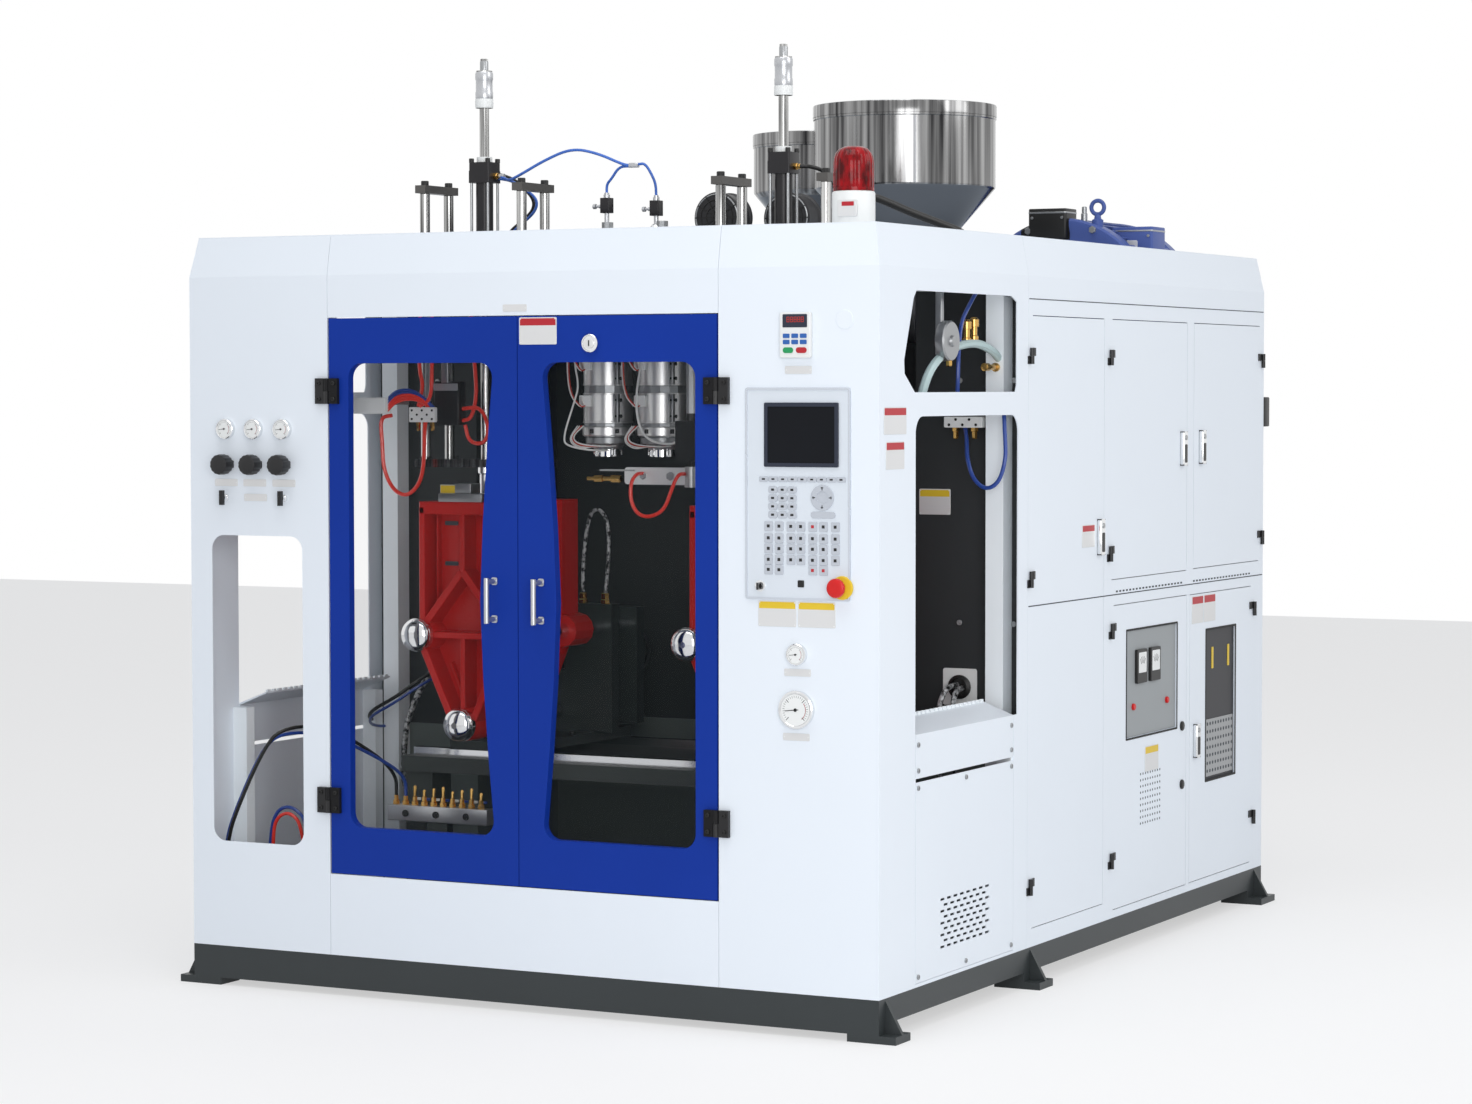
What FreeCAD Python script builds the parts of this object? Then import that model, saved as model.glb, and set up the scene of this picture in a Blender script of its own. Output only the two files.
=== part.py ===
import FreeCAD, Part
import math
import os
import re
import Sketcher

doc = FreeCAD.newDocument("BlowMoulder")
V = FreeCAD.Vector

# Sizes in millimetres.  Heights count from the floor, depths from the front skin.
SIZES = {
    "width": 1885, "depth": 2617, "reach": 50, "sheet": 3,
    "base_top": 99, "rail_low": 40, "rail_wide": 80,
    "bend_up": 1756, "crown_rise": 95, "crown_inset": 17,
    "seam_x": 535, "door_low": 300, "door_high": 1651, "door_thick": 22,
    "pin_out": 8, "pin_r": 3, "run_gap": 0.05, "fit_gap": 0.3,
    "part_y": 862, "recess_half": 640, "recess_back": 1290,
    "bed_top": 540, "track_high": 20,
    "slide_x": 386, "bar_r": 20, "bar_span": 124, "bar_up": 861,
    "low_bar_up": 638, "ram_up": 770, "ram_r": 20, "platen_top": 1197,
    "front_face_y": 460, "rear_face_y": 660, "wall_y": 845,
    "cross_y": 980,
    "blow_x": 425, "blow_y": 555, "guide_r": 12.5, "guide_span": 143,
    "guide_half": 57, "blow_rod_r": 12, "blow_plate_up": 1282,
    "die_x": 78, "die_y": 575, "tip_up": 1310,
    "beam_up": 1716, "beam_high": 40,
    "barrel_up": 1655, "barrel_r": 45,
    "feed_x": 270, "feed_y": 1600, "side_feed_x": -130, "side_feed_back": 320,
    "motor_in": 422.5, "motor_up": 1690, "motor_r": 270,
    "cutter_x": 240, "cutter_y": 425, "cutter_up": 1240,
    "lamp_in": 159.5, "lamp_y": 200,
    "stop_x": 845, "stop_up": 1030, "lock_x": 645,
    "face_out": 3, "pan_deep": 5,
}

sheet = doc.addObject("Spreadsheet::Sheet", "Sizes")
for row, (word, value) in enumerate(SIZES.items(), 1):
    sheet.set("A%d" % row, word)
    sheet.set("B%d" % row, str(value))
    sheet.setAlias("B%d" % row, word)
doc.recompute()

FRONT = "(reach - depth) / 2"
BEAM_TOP = "beam_up + beam_high"
ROOF = "bend_up + crown_rise + sheet"
SIDE_Y = "feed_y + side_feed_back"
MOTOR_X = "width/2 - motor_in"
MOTOR_Y = "depth - 517"
LAMP_X = "width/2 - lamp_in"
WAYS = {
    "x": FreeCAD.Rotation(V(0, 1, 0), 90),
    "y": FreeCAD.Rotation(V(1, 0, 0), -90),
    "z": FreeCAD.Rotation(),
}
AXES = {"x": V(1, 0, 0), "y": V(0, 1, 0), "z": V(0, 0, 1)}
nodes = []


def tied(text):
    """A formula in which every sheet word points at the sheet."""
    return re.sub(r"[a-z_]+", lambda hit: ("Sizes." if hit.group(0) in SIZES else "")
                  + hit.group(0), str(text))


def bind(item, field, text):
    item.setExpression(field, tied(text))


def set_base(item, x, y, up):
    bind(item, "Placement.Base.x", x)
    bind(item, "Placement.Base.y", "(%s) + %s" % (y, FRONT))
    bind(item, "Placement.Base.z", up)


def block(name, x, y, up):
    """Box between two formulas on each axis."""
    item = doc.addObject("Part::Box", name)
    bind(item, "Length", "(%s) - (%s)" % (x[1], x[0]))
    bind(item, "Width", "(%s) - (%s)" % (y[1], y[0]))
    bind(item, "Height", "(%s) - (%s)" % (up[1], up[0]))
    set_base(item, x[0], y[0], up[0])
    return item


def rod(name, at, way, radius, length):
    item = doc.addObject("Part::Cylinder", name)
    item.Placement.Rotation = WAYS[way]
    bind(item, "Radius", radius)
    bind(item, "Height", length)
    set_base(item, *at)
    return item


def value(text):
    return float(sheet.evalExpression(tied(text)))


def frustum(name, at, way, sides, radius, end_radius, length):
    """Tapered regular prism with flat sides."""
    rings = []
    for size, run in ((value(radius), 0), (value(end_radius), value(length))):
        rings.append([V(size * math.cos(2 * math.pi * step / sides),
                        size * math.sin(2 * math.pi * step / sides), run)
                      for step in range(sides)])
    walls = [rings[0], rings[1]]
    for step in range(sides):
        after = (step + 1) % sides
        walls.append([rings[0][step], rings[0][after], rings[1][after], rings[1][step]])
    faces = [Part.Face(Part.makePolygon(wall + wall[:1])) for wall in walls]
    solid = Part.Solid(Part.Shell(faces))
    if solid.Volume < 0:
        solid.reverse()
    item = doc.addObject("Part::Feature", name)
    item.Shape = solid
    item.Placement.Rotation = WAYS[way]
    set_base(item, *at)
    return item


def many_sided(name, at, way, sides, radius, length):
    """Regular prism standing on the given point."""
    item = doc.addObject("Part::Prism", name)
    item.Polygon = sides
    item.Placement.Rotation = WAYS[way]
    bind(item, "Circumradius", radius)
    bind(item, "Height", length)
    set_base(item, *at)
    return item


def outline(name, points, way, low, high):
    """Closed sketch of straight lines, drawn across one axis and pushed along it."""
    sketch = doc.addObject("Sketcher::SketchObject", name + "_sketch")
    turns = {"x": FreeCAD.Rotation(V(1, 1, 1), 120),
             "y": FreeCAD.Rotation(V(1, 0, 0), 90), "z": FreeCAD.Rotation()}
    sketch.Placement = FreeCAD.Placement(V(0, 0, 0), turns[way])
    count = len(points)
    pairs = []
    for first, second in points:
        if way == "x":
            first = "(%s) + %s" % (first, FRONT)
        if way == "z":
            second = "(%s) + %s" % (second, FRONT)
        pairs.append((tied(first), tied(second)))
    values = [[float(sketch.evalExpression(part)) for part in pair] for pair in pairs]
    for number in range(count):
        start = V(*values[number], 0)
        end = V(*values[(number + 1) % count], 0)
        sketch.addGeometry(Part.LineSegment(start, end))
    for number in range(count):
        sketch.addConstraint(Sketcher.Constraint("Coincident", number, 2, (number + 1) % count, 1))
    for number in range(count):
        for kind, value, text in zip(("DistanceX", "DistanceY"), values[number], pairs[number]):
            made = sketch.addConstraint(Sketcher.Constraint(kind, -1, 1, number, 1, value))
            sketch.setExpression("Constraints[%d]" % made, text)
    if way == "y":
        bind(sketch, "Placement.Base.y", "(%s) + %s" % (low, FRONT))
    else:
        bind(sketch, "Placement.Base." + way, low)
    item = doc.addObject("Part::Extrusion", name)
    item.Base = sketch
    item.DirMode = "Custom"
    item.Dir = AXES[way]
    item.Solid = True
    bind(item, "LengthFwd", "(%s) - (%s)" % (high, low))
    return item


def fuse(name, items):
    if len(items) == 1:
        return items[0]
    item = doc.addObject("Part::MultiFuse", name)
    item.Shapes = items
    item.Refine = True
    return item


def together(name, items):
    """Separate solids, face to face, that make one piece of the machine."""
    item = doc.addObject("Part::Compound", name)
    item.Links = items
    return item


def cut(name, base, tools):
    item = doc.addObject("Part::Cut", name)
    item.Base = base
    item.Tool = fuse(name + "_tools", tools)
    item.Refine = True
    return item


def softened(name, base, radius, way, keep=None):
    """Rounds the straight edges that run along one axis."""
    doc.recompute()
    chosen = []
    for number, edge in enumerate(base.Shape.Edges, 1):
        if len(edge.Vertexes) < 2:
            continue
        run = edge.Vertexes[1].Point - edge.Vertexes[0].Point
        if run.Length < 0.01 or abs(abs(run.normalize().dot(AXES[way])) - 1) > 1e-6:
            continue
        if keep is None or keep(edge.CenterOfMass):
            chosen.append((number, radius, radius))
    item = doc.addObject("Part::Fillet", name)
    item.Base = base
    item.Edges = chosen
    return item


def hose(name, points, radius):
    """Six-sided hose of straight runs and tangent arcs through the given corners."""
    spots = [V(value(x), value(y) + value(FRONT), value(up)) for x, y, up in points]
    line = [spots[0]]
    for number in range(1, len(spots) - 1):
        before = spots[number] - spots[number - 1]
        after = spots[number + 1] - spots[number]
        half = before.getAngle(after) / 2
        run = 0.45 * min(before.Length, after.Length)
        start = spots[number] - before.normalize() * run
        end = spots[number] + after.normalize() * run
        away = (end - spots[number]).normalize() + (start - spots[number]).normalize()
        bend = run / math.tan(half)
        middle = spots[number] + away.normalize() * (bend / math.cos(half) - bend)
        line += Part.Arc(start, middle, end).toShape().discretize(4)
    line.append(spots[-1])
    path = Part.makePolygon(line)
    turn = FreeCAD.Rotation(V(0, 0, 1), spots[1] - spots[0])
    corners = [spots[0] + turn.multVec(V(radius * math.cos(math.pi * step / 3),
                                         radius * math.sin(math.pi * step / 3), 0))
               for step in range(6)]
    ring = Part.makePolygon(corners + corners[:1])
    item = doc.addObject("Part::Feature", name)
    item.Shape = path.makePipeShell([ring], True, False, 1)
    return item


def node(name, item):
    item.Label = name
    nodes.append(item)


# ---------------------------------------------------------------- base and bed
feet_y = (("0", "rail_wide"), ("845", "930"), ("depth - 117", "depth"))
pieces = [
    block("front_sill", ("-width/2", "width/2"), ("0", "rail_wide"), ("18", "base_top")),
    block("rear_sill", ("-width/2", "width/2"), ("depth - rail_wide", "depth"), ("18", "base_top")),
    block("floor_pan", ("rail_wide - width/2", "width/2 - rail_wide"),
          ("rail_wide", "depth - rail_wide"), ("base_top - 9", "base_top")),
    block("bed_table", ("5 - recess_half", "recess_half - 5"), ("480", "1110"),
          ("bed_top - 40", "bed_top")),
    block("drive_stand", (MOTOR_X + " - 120", MOTOR_X + " + 120"),
          (MOTOR_Y + " + 50", MOTOR_Y + " + 350"), ("base_top", "motor_up - motor_r")),
    block("feed_stand", ("feed_x - 80", "feed_x + 80"), ("feed_y + 100", "feed_y + 360"),
          ("base_top", "1500")),
    block("side_feed_stand", ("side_feed_x - 80", "side_feed_x + 80"),
          (SIDE_Y + " + 100", SIDE_Y + " + 340"), ("base_top", "1500")),
]
for side, sign in (("left", "-"), ("right", "")):
    edge = "%swidth/2" % sign
    inner = "%s(width/2 - rail_wide)" % sign
    low, high = (edge, inner) if sign else (inner, edge)
    pieces.append(block(side + "_rail", (low, high), ("0", "depth"), ("rail_low", "base_top")))
    for number, (start, end) in enumerate(feet_y):
        pieces.append(block("%s_pad_%d" % (side, number), (low, high), (start, end),
                            ("0", "base_top")))
        far = "%s(width/2 + 42)" % sign
        x_pair = (far, edge) if sign else (edge, far)
        pieces.append(block("%s_toe_%d" % (side, number), x_pair, (start, end), ("0", "18")))
        middle = "((%s) + (%s)) / 2" % (start, end)
        pieces.append(outline("%s_gusset_%d" % (side, number),
                              [(edge, "18"), (far, "18"), (edge, "base_top - 5")], "y",
                              middle + " - 6", middle + " + 6"))
    for number, near in enumerate(("500", "1000")):
        foot = "%s(recess_half - 85)" % sign
        tip = "%s(recess_half - 5)" % sign
        x_pair = (tip, foot) if sign else (foot, tip)
        pieces.append(block("%s_bed_leg_%d" % (side, number), x_pair,
                            (near, near + " + 90"), ("base_top", "bed_top - 40")))
for number, near in enumerate(("840", "1700")):
    pieces.append(block("floor_beam_%d" % number, ("rail_wide - width/2", "width/2 - rail_wide"),
                        (near, near + " + 80"), ("rail_low", "base_top")))
node("base_frame", fuse("base_frame", pieces))

node("carriage_rails", fuse("carriage_rails", [
    block("near_track", ("20 - recess_half", "recess_half - 20"), ("515", "545"),
          ("bed_top", "bed_top + track_high")),
    block("far_track", ("20 - recess_half", "recess_half - 20"), ("985", "1015"),
          ("bed_top", "bed_top + track_high")),
]))

# ---------------------------------------------------------------- inner frame
pieces = [
    block("front_beam", ("-seam_x - 41", "seam_x + 41"), ("sheet", "sheet + 40"),
          ("beam_up", "beam_up + beam_high")),
    block("near_beam", ("-853", "853"), ("430", "470"), ("beam_up", "beam_up + beam_high")),
    block("far_beam", ("-853", "853"), ("640", "680"), ("beam_up", "beam_up + beam_high")),
]
for side, sign in (("left", "-"), ("right", "")):
    for label, near, far, y, up in (
            ("front_post", "seam_x + 1", "seam_x + 41", ("sheet", "sheet + 40"),
             ("base_top", "beam_up")),
            ("rear_post", "853", "900", ("part_y - 55", "part_y"),
             ("base_top", "bend_up + crown_rise")),
            ("long_beam", "853", "900", ("sheet", "part_y - 55"),
             ("beam_up", "beam_up + beam_high")),
            ("short_post", "width/2 - sheet - 40", "width/2 - sheet", ("170", "205"),
             ("base_top", "676")),
            ("short_post_far", "width/2 - sheet - 40", "width/2 - sheet", ("765", "800"),
             ("base_top", "676"))):
        x = ("-(%s)" % far, "-(%s)" % near) if sign else (near, far)
        pieces.append(block(side + "_" + label, x, y, up))
node("inner_frame", together("inner_frame", pieces))

pieces = [
    block("recess_rear", ("-recess_half", "recess_half"),
          ("recess_back - sheet", "recess_back"), ("base_top", "1600")),
    block("wiring_plate", ("820", "820 + sheet"), ("part_y + sheet", "2560"), ("140", "1640")),
]
for side, sign in (("left", "-"), ("right", "")):
    wall = ("recess_half", "recess_half + sheet")
    if sign:
        wall = ("-recess_half - sheet", "-recess_half")
    pieces.append(outline(side + "_partition", [
        ("%srecess_half" % sign, "base_top"), ("%s(width/2 - sheet)" % sign, "base_top"),
        ("%s(width/2 - sheet)" % sign, "bend_up"),
        ("%s(width/2 - sheet - crown_inset)" % sign, "bend_up + crown_rise"),
        ("%srecess_half" % sign, "bend_up + crown_rise")], "y", "part_y", "part_y + sheet"))
    pieces.append(block(side + "_recess_wall", wall, ("part_y + sheet", "recess_back"),
                        ("base_top", "1600")))
node("rear_partition", together("rear_partition", pieces))


# ---------------------------------------------------------------- outer sheets
def crown(name, inset):
    """Four-sided band above the bend, leaning inwards to the roof deck."""
    item = doc.addObject("Part::Wedge", name)
    item.Placement.Rotation = FreeCAD.Rotation(V(1, 0, 0), 90)
    bind(item, "Xmin", "%s - width/2" % inset)
    bind(item, "Xmax", "width/2 - %s" % inset)
    bind(item, "X2min", "%s + crown_inset - width/2" % inset)
    bind(item, "X2max", "width/2 - crown_inset - %s" % inset)
    bind(item, "Ymin", "bend_up")
    bind(item, "Ymax", "bend_up + crown_rise")
    bind(item, "Zmin", "-(depth - %s + %s)" % (inset, FRONT))
    bind(item, "Zmax", "-(%s + %s)" % (inset, FRONT))
    bind(item, "Z2min", "-(depth - crown_inset - %s + %s)" % (inset, FRONT))
    bind(item, "Z2max", "-(crown_inset + %s + %s)" % (inset, FRONT))
    return item


def whole(name, inset, low):
    return fuse(name, [
        block(name + "_box", ("%s - width/2" % inset, "width/2 - %s" % inset),
              (inset, "depth - %s" % inset), (low, "bend_up")),
        crown(name + "_crown", inset)])


skin = cut("skin", whole("outer_form", "0", "base_top"), [whole("inner_form", "sheet",
                                                                "base_top - 1")])


def panel(name, x, y, up):
    region = block(name + "_region", x, y, up)
    item = doc.addObject("Part::Common", name + "_part")
    item.Base = skin
    item.Tool = region
    return item


TOP = "bend_up + crown_rise + 1"


def side_windows(side, x):
    """Tall outlet, vent field and slanted upper window of one front side wall."""
    tall = block(side + "_tall", x, ("196", "799"), ("684", "1416"))
    window = outline(side + "_upper", [
        ("200", "1704"), ("756", "1704"), ("790", "1690"), ("790", "1490"), ("783", "1472"),
        ("191", "1471"), ("135", "1513"), ("132", "1544"), ("185", "1688")], "x", x[0], x[1])
    return [softened(side + "_tall_round", tall, 40, "x", lambda spot: spot.z > 1300),
            block(side + "_lower", x, ("196", "775"), ("base_top + 8", "690")), window]


left_sheet = panel("left_front", ("-width/2 - 1", "-seam_x - 0.5"), ("-1", "part_y"),
                   ("base_top - 1", TOP))
column_window = softened("column_window", block("column_hole", ("-880", "-612"), ("-1", "9"),
                                                ("361", "1120")), 35, "y")
tools = side_windows("left", ("-width/2 - 9", "60 - width/2")) + [column_window]
knob_x = ("-826", "-742", "-658")
gauge_x = ("-833", "-750", "-665")
cock_x = ("-836", "-663")
for number in range(3):
    tools.append(many_sided("knob_hole_%d" % number, (knob_x[number], "-1", "1295"), "y", 8,
                            "8.8", "sheet + 2"))
    tools.append(many_sided("dial_hole_%d" % number, (gauge_x[number], "-1", "1382"), "y", 6,
                            "7 + fit_gap", "sheet + 2"))
for number in range(2):
    tools.append(many_sided("cock_hole_%d" % number, (cock_x[number], "-1", "1213"), "y", 8,
                            "5.6", "sheet + 2"))
node("left_front_panel", cut("left_front_panel", left_sheet, tools))

right_sheet = panel("right_front", ("seam_x + 0.5", "width/2 + 1"), ("-1", "part_y"),
                    ("base_top - 1", TOP))
tools = side_windows("right", ("width/2 - 60", "width/2 + 9"))
tools += [
    many_sided("stop_hole", ("stop_x", "-1", "stop_up"), "y", 8, "12", "sheet + 2"),
    many_sided("lock_hole", ("lock_x", "-1", "stop_up"), "y", 8, "8", "sheet + 2"),
    many_sided("small_dial_hole", ("738", "-1", "876"), "y", 6, "7 + fit_gap", "sheet + 2"),
    many_sided("big_dial_hole", ("738", "-1", "750"), "y", 6, "7 + fit_gap", "sheet + 2"),
]
node("right_front_panel", cut("right_front_panel", right_sheet, tools))

node("header_panel", panel("header", ("0.5 - seam_x", "seam_x - 0.5"), ("-1", "60"),
                           ("door_high + 2", TOP)))
node("lower_front_panel", panel("lower_front", ("0.5 - seam_x", "seam_x - 0.5"), ("-1", "60"),
                                ("base_top - 1", "door_low - 2")))

pieces = []
for side, sign in (("left", "-"), ("right", "")):
    pieces.append(outline(side + "_sill_fold", [
        ("%swidth/2" % sign, "582"), ("%swidth/2" % sign, "684"),
        ("%s(width/2 - 84)" % sign, "716"), ("%s(width/2 - 84)" % sign, "712"),
        ("%s(width/2 - sheet)" % sign, "680"), ("%s(width/2 - sheet)" % sign, "582")],
        "y", "198", "773"))
node("outlet_sills", fuse("outlet_sills", pieces))

pieces = []
for side, sign in (("left", "-"), ("right", "")):
    x = ("width/2 - sheet", "width/2")
    far = ("width/2 - 9", "width/2 + 9")
    if sign:
        x = ("-width/2", "sheet - width/2")
        far = ("-width/2 - 9", "9 - width/2")
    field = block(side + "_vent_field", x, ("198", "774"), ("base_top + 9", "573"))
    slots = []
    for row in range(0 if sign else 9):
        for column in range(8 - row % 2):
            start = 340 + 37.5 * column + 18.7 * (row % 2)
            slots.append(block("%s_slot_%d_%d" % (side, row, column), far,
                               (str(start), "%s + 26" % start),
                               (str(170 + 14 * row), "%d + 6" % (170 + 14 * row))))
    pieces.append(cut(side + "_vent_plate", field, slots) if slots else field)
node("vent_panels", fuse("vent_panels", pieces))

# ---------------------------------------------------------------- rear cabinet
DOORS = {
    "a": ("890", "1368", "146", "1658"), "b": ("1424", "1982", "985", "1658"),
    "c": ("2037", "2580", "987", "1658"), "d": ("1440", "1985", "121", "915"),
    "e": ("2013", "2515", "122", "914"),
}
wall_x = ("width/2 - 20", "width/2 + 9")
tools = []
for key, (near, far, low, high) in DOORS.items():
    near_gap, far_gap = ("2", "0") if key in "ce" else ("0", "2")
    tools.append(block("door_hole_" + key, wall_x, ("%s - %s" % (near, near_gap),
                                                    "%s + %s" % (far, far_gap)),
                       (low + " - 2", high + " + 2")))
housing = panel("rear", ("-width/2 - 1", "width/2 + 1"), ("part_y + 1", "depth + 1"),
                ("base_top - 1", TOP))
HINGES = {"a": ("873", ("249", "1010", "1560")), "b": ("1406", ("1052", "1560")),
          "c": ("2597", ("1052", "1560")), "d": ("1420", ("250", "850")),
          "e": ("2533", ("250", "850"))}
HINGE_X = "width/2 + 6"
pins = []
for key, (along, heights) in HINGES.items():
    for number, up in enumerate(heights):
        label = "%s_%d" % (key, number)
        pins.append(many_sided("barrel_low_" + label, (HINGE_X, along, up + " - 20"), "z", 8,
                               "5.5", "19.5"))
        spot = (HINGE_X, along, up + " - 1")
        if number:
            pins.append(many_sided("hinge_pin_" + label, spot, "z", 6, "pin_r", "18"))
        else:
            pins.append(rod("hinge_pin_" + label, spot, "z", "pin_r", "18"))
        inner, outer = (along + " - 16", along) if key in "abd" else (along, along + " + 16")
        pins.append(block("hinge_foot_" + label, ("width/2", "width/2 + 3"), (inner, outer),
                          (up + " - 20", up + " - 0.5")))
node("rear_cabinet", fuse("rear_cabinet", [cut("rear_walls", housing, tools)] + pins))

RECESSES = {"d": (("1533", "1912"), ("558", "845")), "e": (("2140", "2385"), ("390", "812"))}
handles = {"a": ("1335", "1052"), "b": ("1943", "1271"), "c": ("2091", "1273"),
           "e": ("2056", "464")}
for key, (near, far, low, high) in DOORS.items():
    leaf = block("leaf_" + key, ("width/2 - sheet", "width/2"), (near, far), (low, high))
    if key in RECESSES:
        pan_y, pan_up = RECESSES[key]
        wide_y = (pan_y[0] + " - sheet", pan_y[1] + " + sheet")
        wide_up = (pan_up[0] + " - sheet", pan_up[1] + " + sheet")
        leaf = cut("leaf_%s_cut" % key, fuse("leaf_%s_pan" % key, [
            leaf, block("pan_" + key, ("width/2 - sheet - pan_deep", "width/2 - sheet"),
                        wide_y, wide_up)]),
            [block("window_" + key, ("width/2 - pan_deep", "width/2 + 1"), pan_y, pan_up)])
    pieces = [leaf]
    if key in handles:
        along, up = handles[key]
        pieces.append(block("grip_" + key, ("width/2", "width/2 + 12"),
                            (along + " - 14", along + " + 14"), (up, up + " + 93")))
    along, heights = HINGES[key]
    bores = []
    for number, up in enumerate(heights):
        label = "%s_%d" % (key, number)
        pieces.append(many_sided("barrel_high_" + label, (HINGE_X, along, up), "z", 8, "5.5",
                                 "20"))
        inner, outer = (along, near + " + 14") if key in "abd" else (far + " - 14", along)
        pieces.append(block("hinge_arm_" + label, ("width/2", "width/2 + 3"), (inner, outer),
                            (up, up + " + 20")))
        spot = (HINGE_X, along, up + " - 1")
        if number:
            bores.append(many_sided("hinge_bore_" + label, spot, "z", 6, "pin_r / 0.86", "19"))
        else:
            bores.append(rod("hinge_bore_" + label, spot, "z", "pin_r + run_gap", "19"))
    node("cabinet_door_" + key, cut("cabinet_door_" + key, fuse("door_form_" + key, pieces),
                                    bores))

# ---------------------------------------------------------------- roof deck
deck = block("deck", ("crown_inset - width/2", "width/2 - crown_inset"),
             ("crown_inset", "depth - crown_inset"),
             ("bend_up + crown_rise", ROOF))
UNDER = "bend_up + crown_rise - 5"
OVER = ROOF + " + 5"
node("roof_deck", cut("roof_deck", deck, [
    block("bay_hole", ("-640", "640"), ("330", "820"), (UNDER, OVER)),
    many_sided("feed_hole", ("feed_x", "feed_y", UNDER), "z", 32, "128", "20"),
    many_sided("side_feed_hole", ("side_feed_x", SIDE_Y, UNDER), "z", 32, "80", "20"),
    block("motor_hole", (MOTOR_X + " - 232", MOTOR_X + " + 232"),
          (MOTOR_Y + " - 12", MOTOR_Y + " + 432"), (UNDER, OVER)),
]))


# ---------------------------------------------------------------- front doors
def window_points(sign, grow):
    """Door window: a straight outer edge and an inner edge that bows outwards."""
    spots = [(475 + grow, 415 - grow), (475 + grow, 1542 + grow), (66 - grow, 1542 + grow),
             (84 - grow, 1340), (97 - grow, 1160), (105 - grow, 975), (97 - grow, 790),
             (84 - grow, 610), (66 - grow, 415 - grow)]
    return [("%s%s" % (sign, x), str(up)) for x, up in spots]


hinge_up = ("1475", "479")
pieces = []
for side, sign in (("left", "-"), ("right", "")):
    for number, up in enumerate(hinge_up):
        near = "%s(seam_x + 30)" % sign
        knuckle = "%s(seam_x - 2)" % sign
        far = "%s(seam_x + 6)" % sign
        x = (near, far) if sign else (far, near)
        pieces.append(block("%s_wing_%d" % (side, number), x, ("-pin_out - 3", "0"),
                            (up + " - 31", up + " + 31")))
        stub = ("%s(seam_x + 6)" % sign, "%s(seam_x - 2)" % sign)
        x = stub if sign else (stub[1], stub[0])
        pieces.append(block("%s_ear_%d" % (side, number), x, ("-pin_out - 3", "2 - pin_out"),
                            (up + " - 31", up + " - 0.5")))
        pieces.append(many_sided("%s_knuckle_%d" % (side, number),
                                 (knuckle, "-pin_out", up + " - 31"), "z", 8, "7.5", "30.5"))
        spot = (knuckle, "-pin_out", up + " - 31")
        if number:
            pieces.append(many_sided("%s_pin_%d" % (side, number), spot, "z", 6, "pin_r", "58"))
        else:
            pieces.append(rod("%s_pin_%d" % (side, number), spot, "z", "pin_r", "58"))
node("hinge_leaves", fuse("hinge_leaves", pieces))

for side, sign in (("left", "-"), ("right", "")):
    x = ("-seam_x + 4", "-1") if sign else ("1", "seam_x - 4")
    slab = block(side + "_slab", x, ("0", "door_thick"), ("door_low", "door_high"))
    hole = outline(side + "_light", window_points(sign, 0), "y", "-1", "door_thick + 1")
    hole = softened(side + "_light_round", hole, 36, "y",
                    lambda spot: abs(spot.x) > 400 or (abs(spot.x) < 70 and
                                                       (spot.z > 1500 or spot.z < 450)))
    pieces = [cut(side + "_door_frame", slab, [hole])]
    for number, up in enumerate(hinge_up):
        wing = ("%s(seam_x - 34)" % sign, "%s(seam_x - 10)" % sign)
        if sign:
            wing = (wing[1], wing[0])
        wing_plate = block("%s_door_wing_%d" % (side, number), wing, ("-pin_out - 3", "0"),
                           (up + " - 31", up + " + 31"))
        ear = ("%s(seam_x - 10)" % sign, "%s(seam_x - 2)" % sign)
        if sign:
            ear = (ear[1], ear[0])
        ear_plate = block("%s_door_ear_%d" % (side, number), ear,
                          ("-pin_out - 3", "2 - pin_out"), (up + " + 0.5", up + " + 31"))
        ring = many_sided("%s_door_knuckle_%d" % (side, number),
                          ("%s(seam_x - 2)" % sign, "-pin_out", up + " + 0.5"), "z", 8,
                          "7.5", "30.5")
        spot = ("%s(seam_x - 2)" % sign, "-pin_out", up)
        if number:
            bore = many_sided("%s_door_bore_%d" % (side, number), spot, "z", 6, "pin_r / 0.86",
                              "29")
        else:
            bore = rod("%s_door_bore_%d" % (side, number), spot, "z", "pin_r + run_gap", "29")
        pieces.append(cut("%s_door_hinge_%d" % (side, number),
                          fuse("%s_door_hinge_form_%d" % (side, number),
                               [wing_plate, ear_plate, ring]), [bore]))
    grip = "%s64" % sign
    pieces.append(many_sided(side + "_grip_low", (grip, "-38", "934"), "y", 6, "5.5", "38"))
    pieces.append(many_sided(side + "_grip_high", (grip, "-38", "1024"), "y", 6, "5.5", "38"))
    pieces.append(many_sided(side + "_grip_bar", (grip, "-38", "925"), "z", 8, "6", "108"))
    if not sign:
        pieces.append(many_sided("door_lock", ("200", "-6", "1586"), "y", 12, "20", "6"))
    node(side + "_door", fuse(side + "_door", pieces))
    node(side + "_pane", outline(side + "_pane", window_points(sign, 18), "y",
                                 "door_thick", "door_thick + 4"))

# ---------------------------------------------------------------- control column
plate = fuse("face_form", [
    block("face_plate", ("611", "868"), ("-face_out", "0"), ("1004", "1478")),
    block("face_screen", ("660", "839"), ("-face_out - 2", "-face_out"), ("1306", "1444")),
    many_sided("stop_collar", ("stop_x", "-face_out - 4", "stop_up"), "y", 12, "20", "4"),
    many_sided("lock_collar", ("lock_x", "-face_out - 3", "stop_up"), "y", 12, "13", "3"),
])
node("control_face", cut("control_face", plate, [
    many_sided("stop_bore", ("stop_x", "-20", "stop_up"), "y", 8, "8 + run_gap", "20"),
    rod("lock_bore", ("lock_x", "-20", "stop_up"), "y", "6 + run_gap", "20"),
]))

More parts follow.
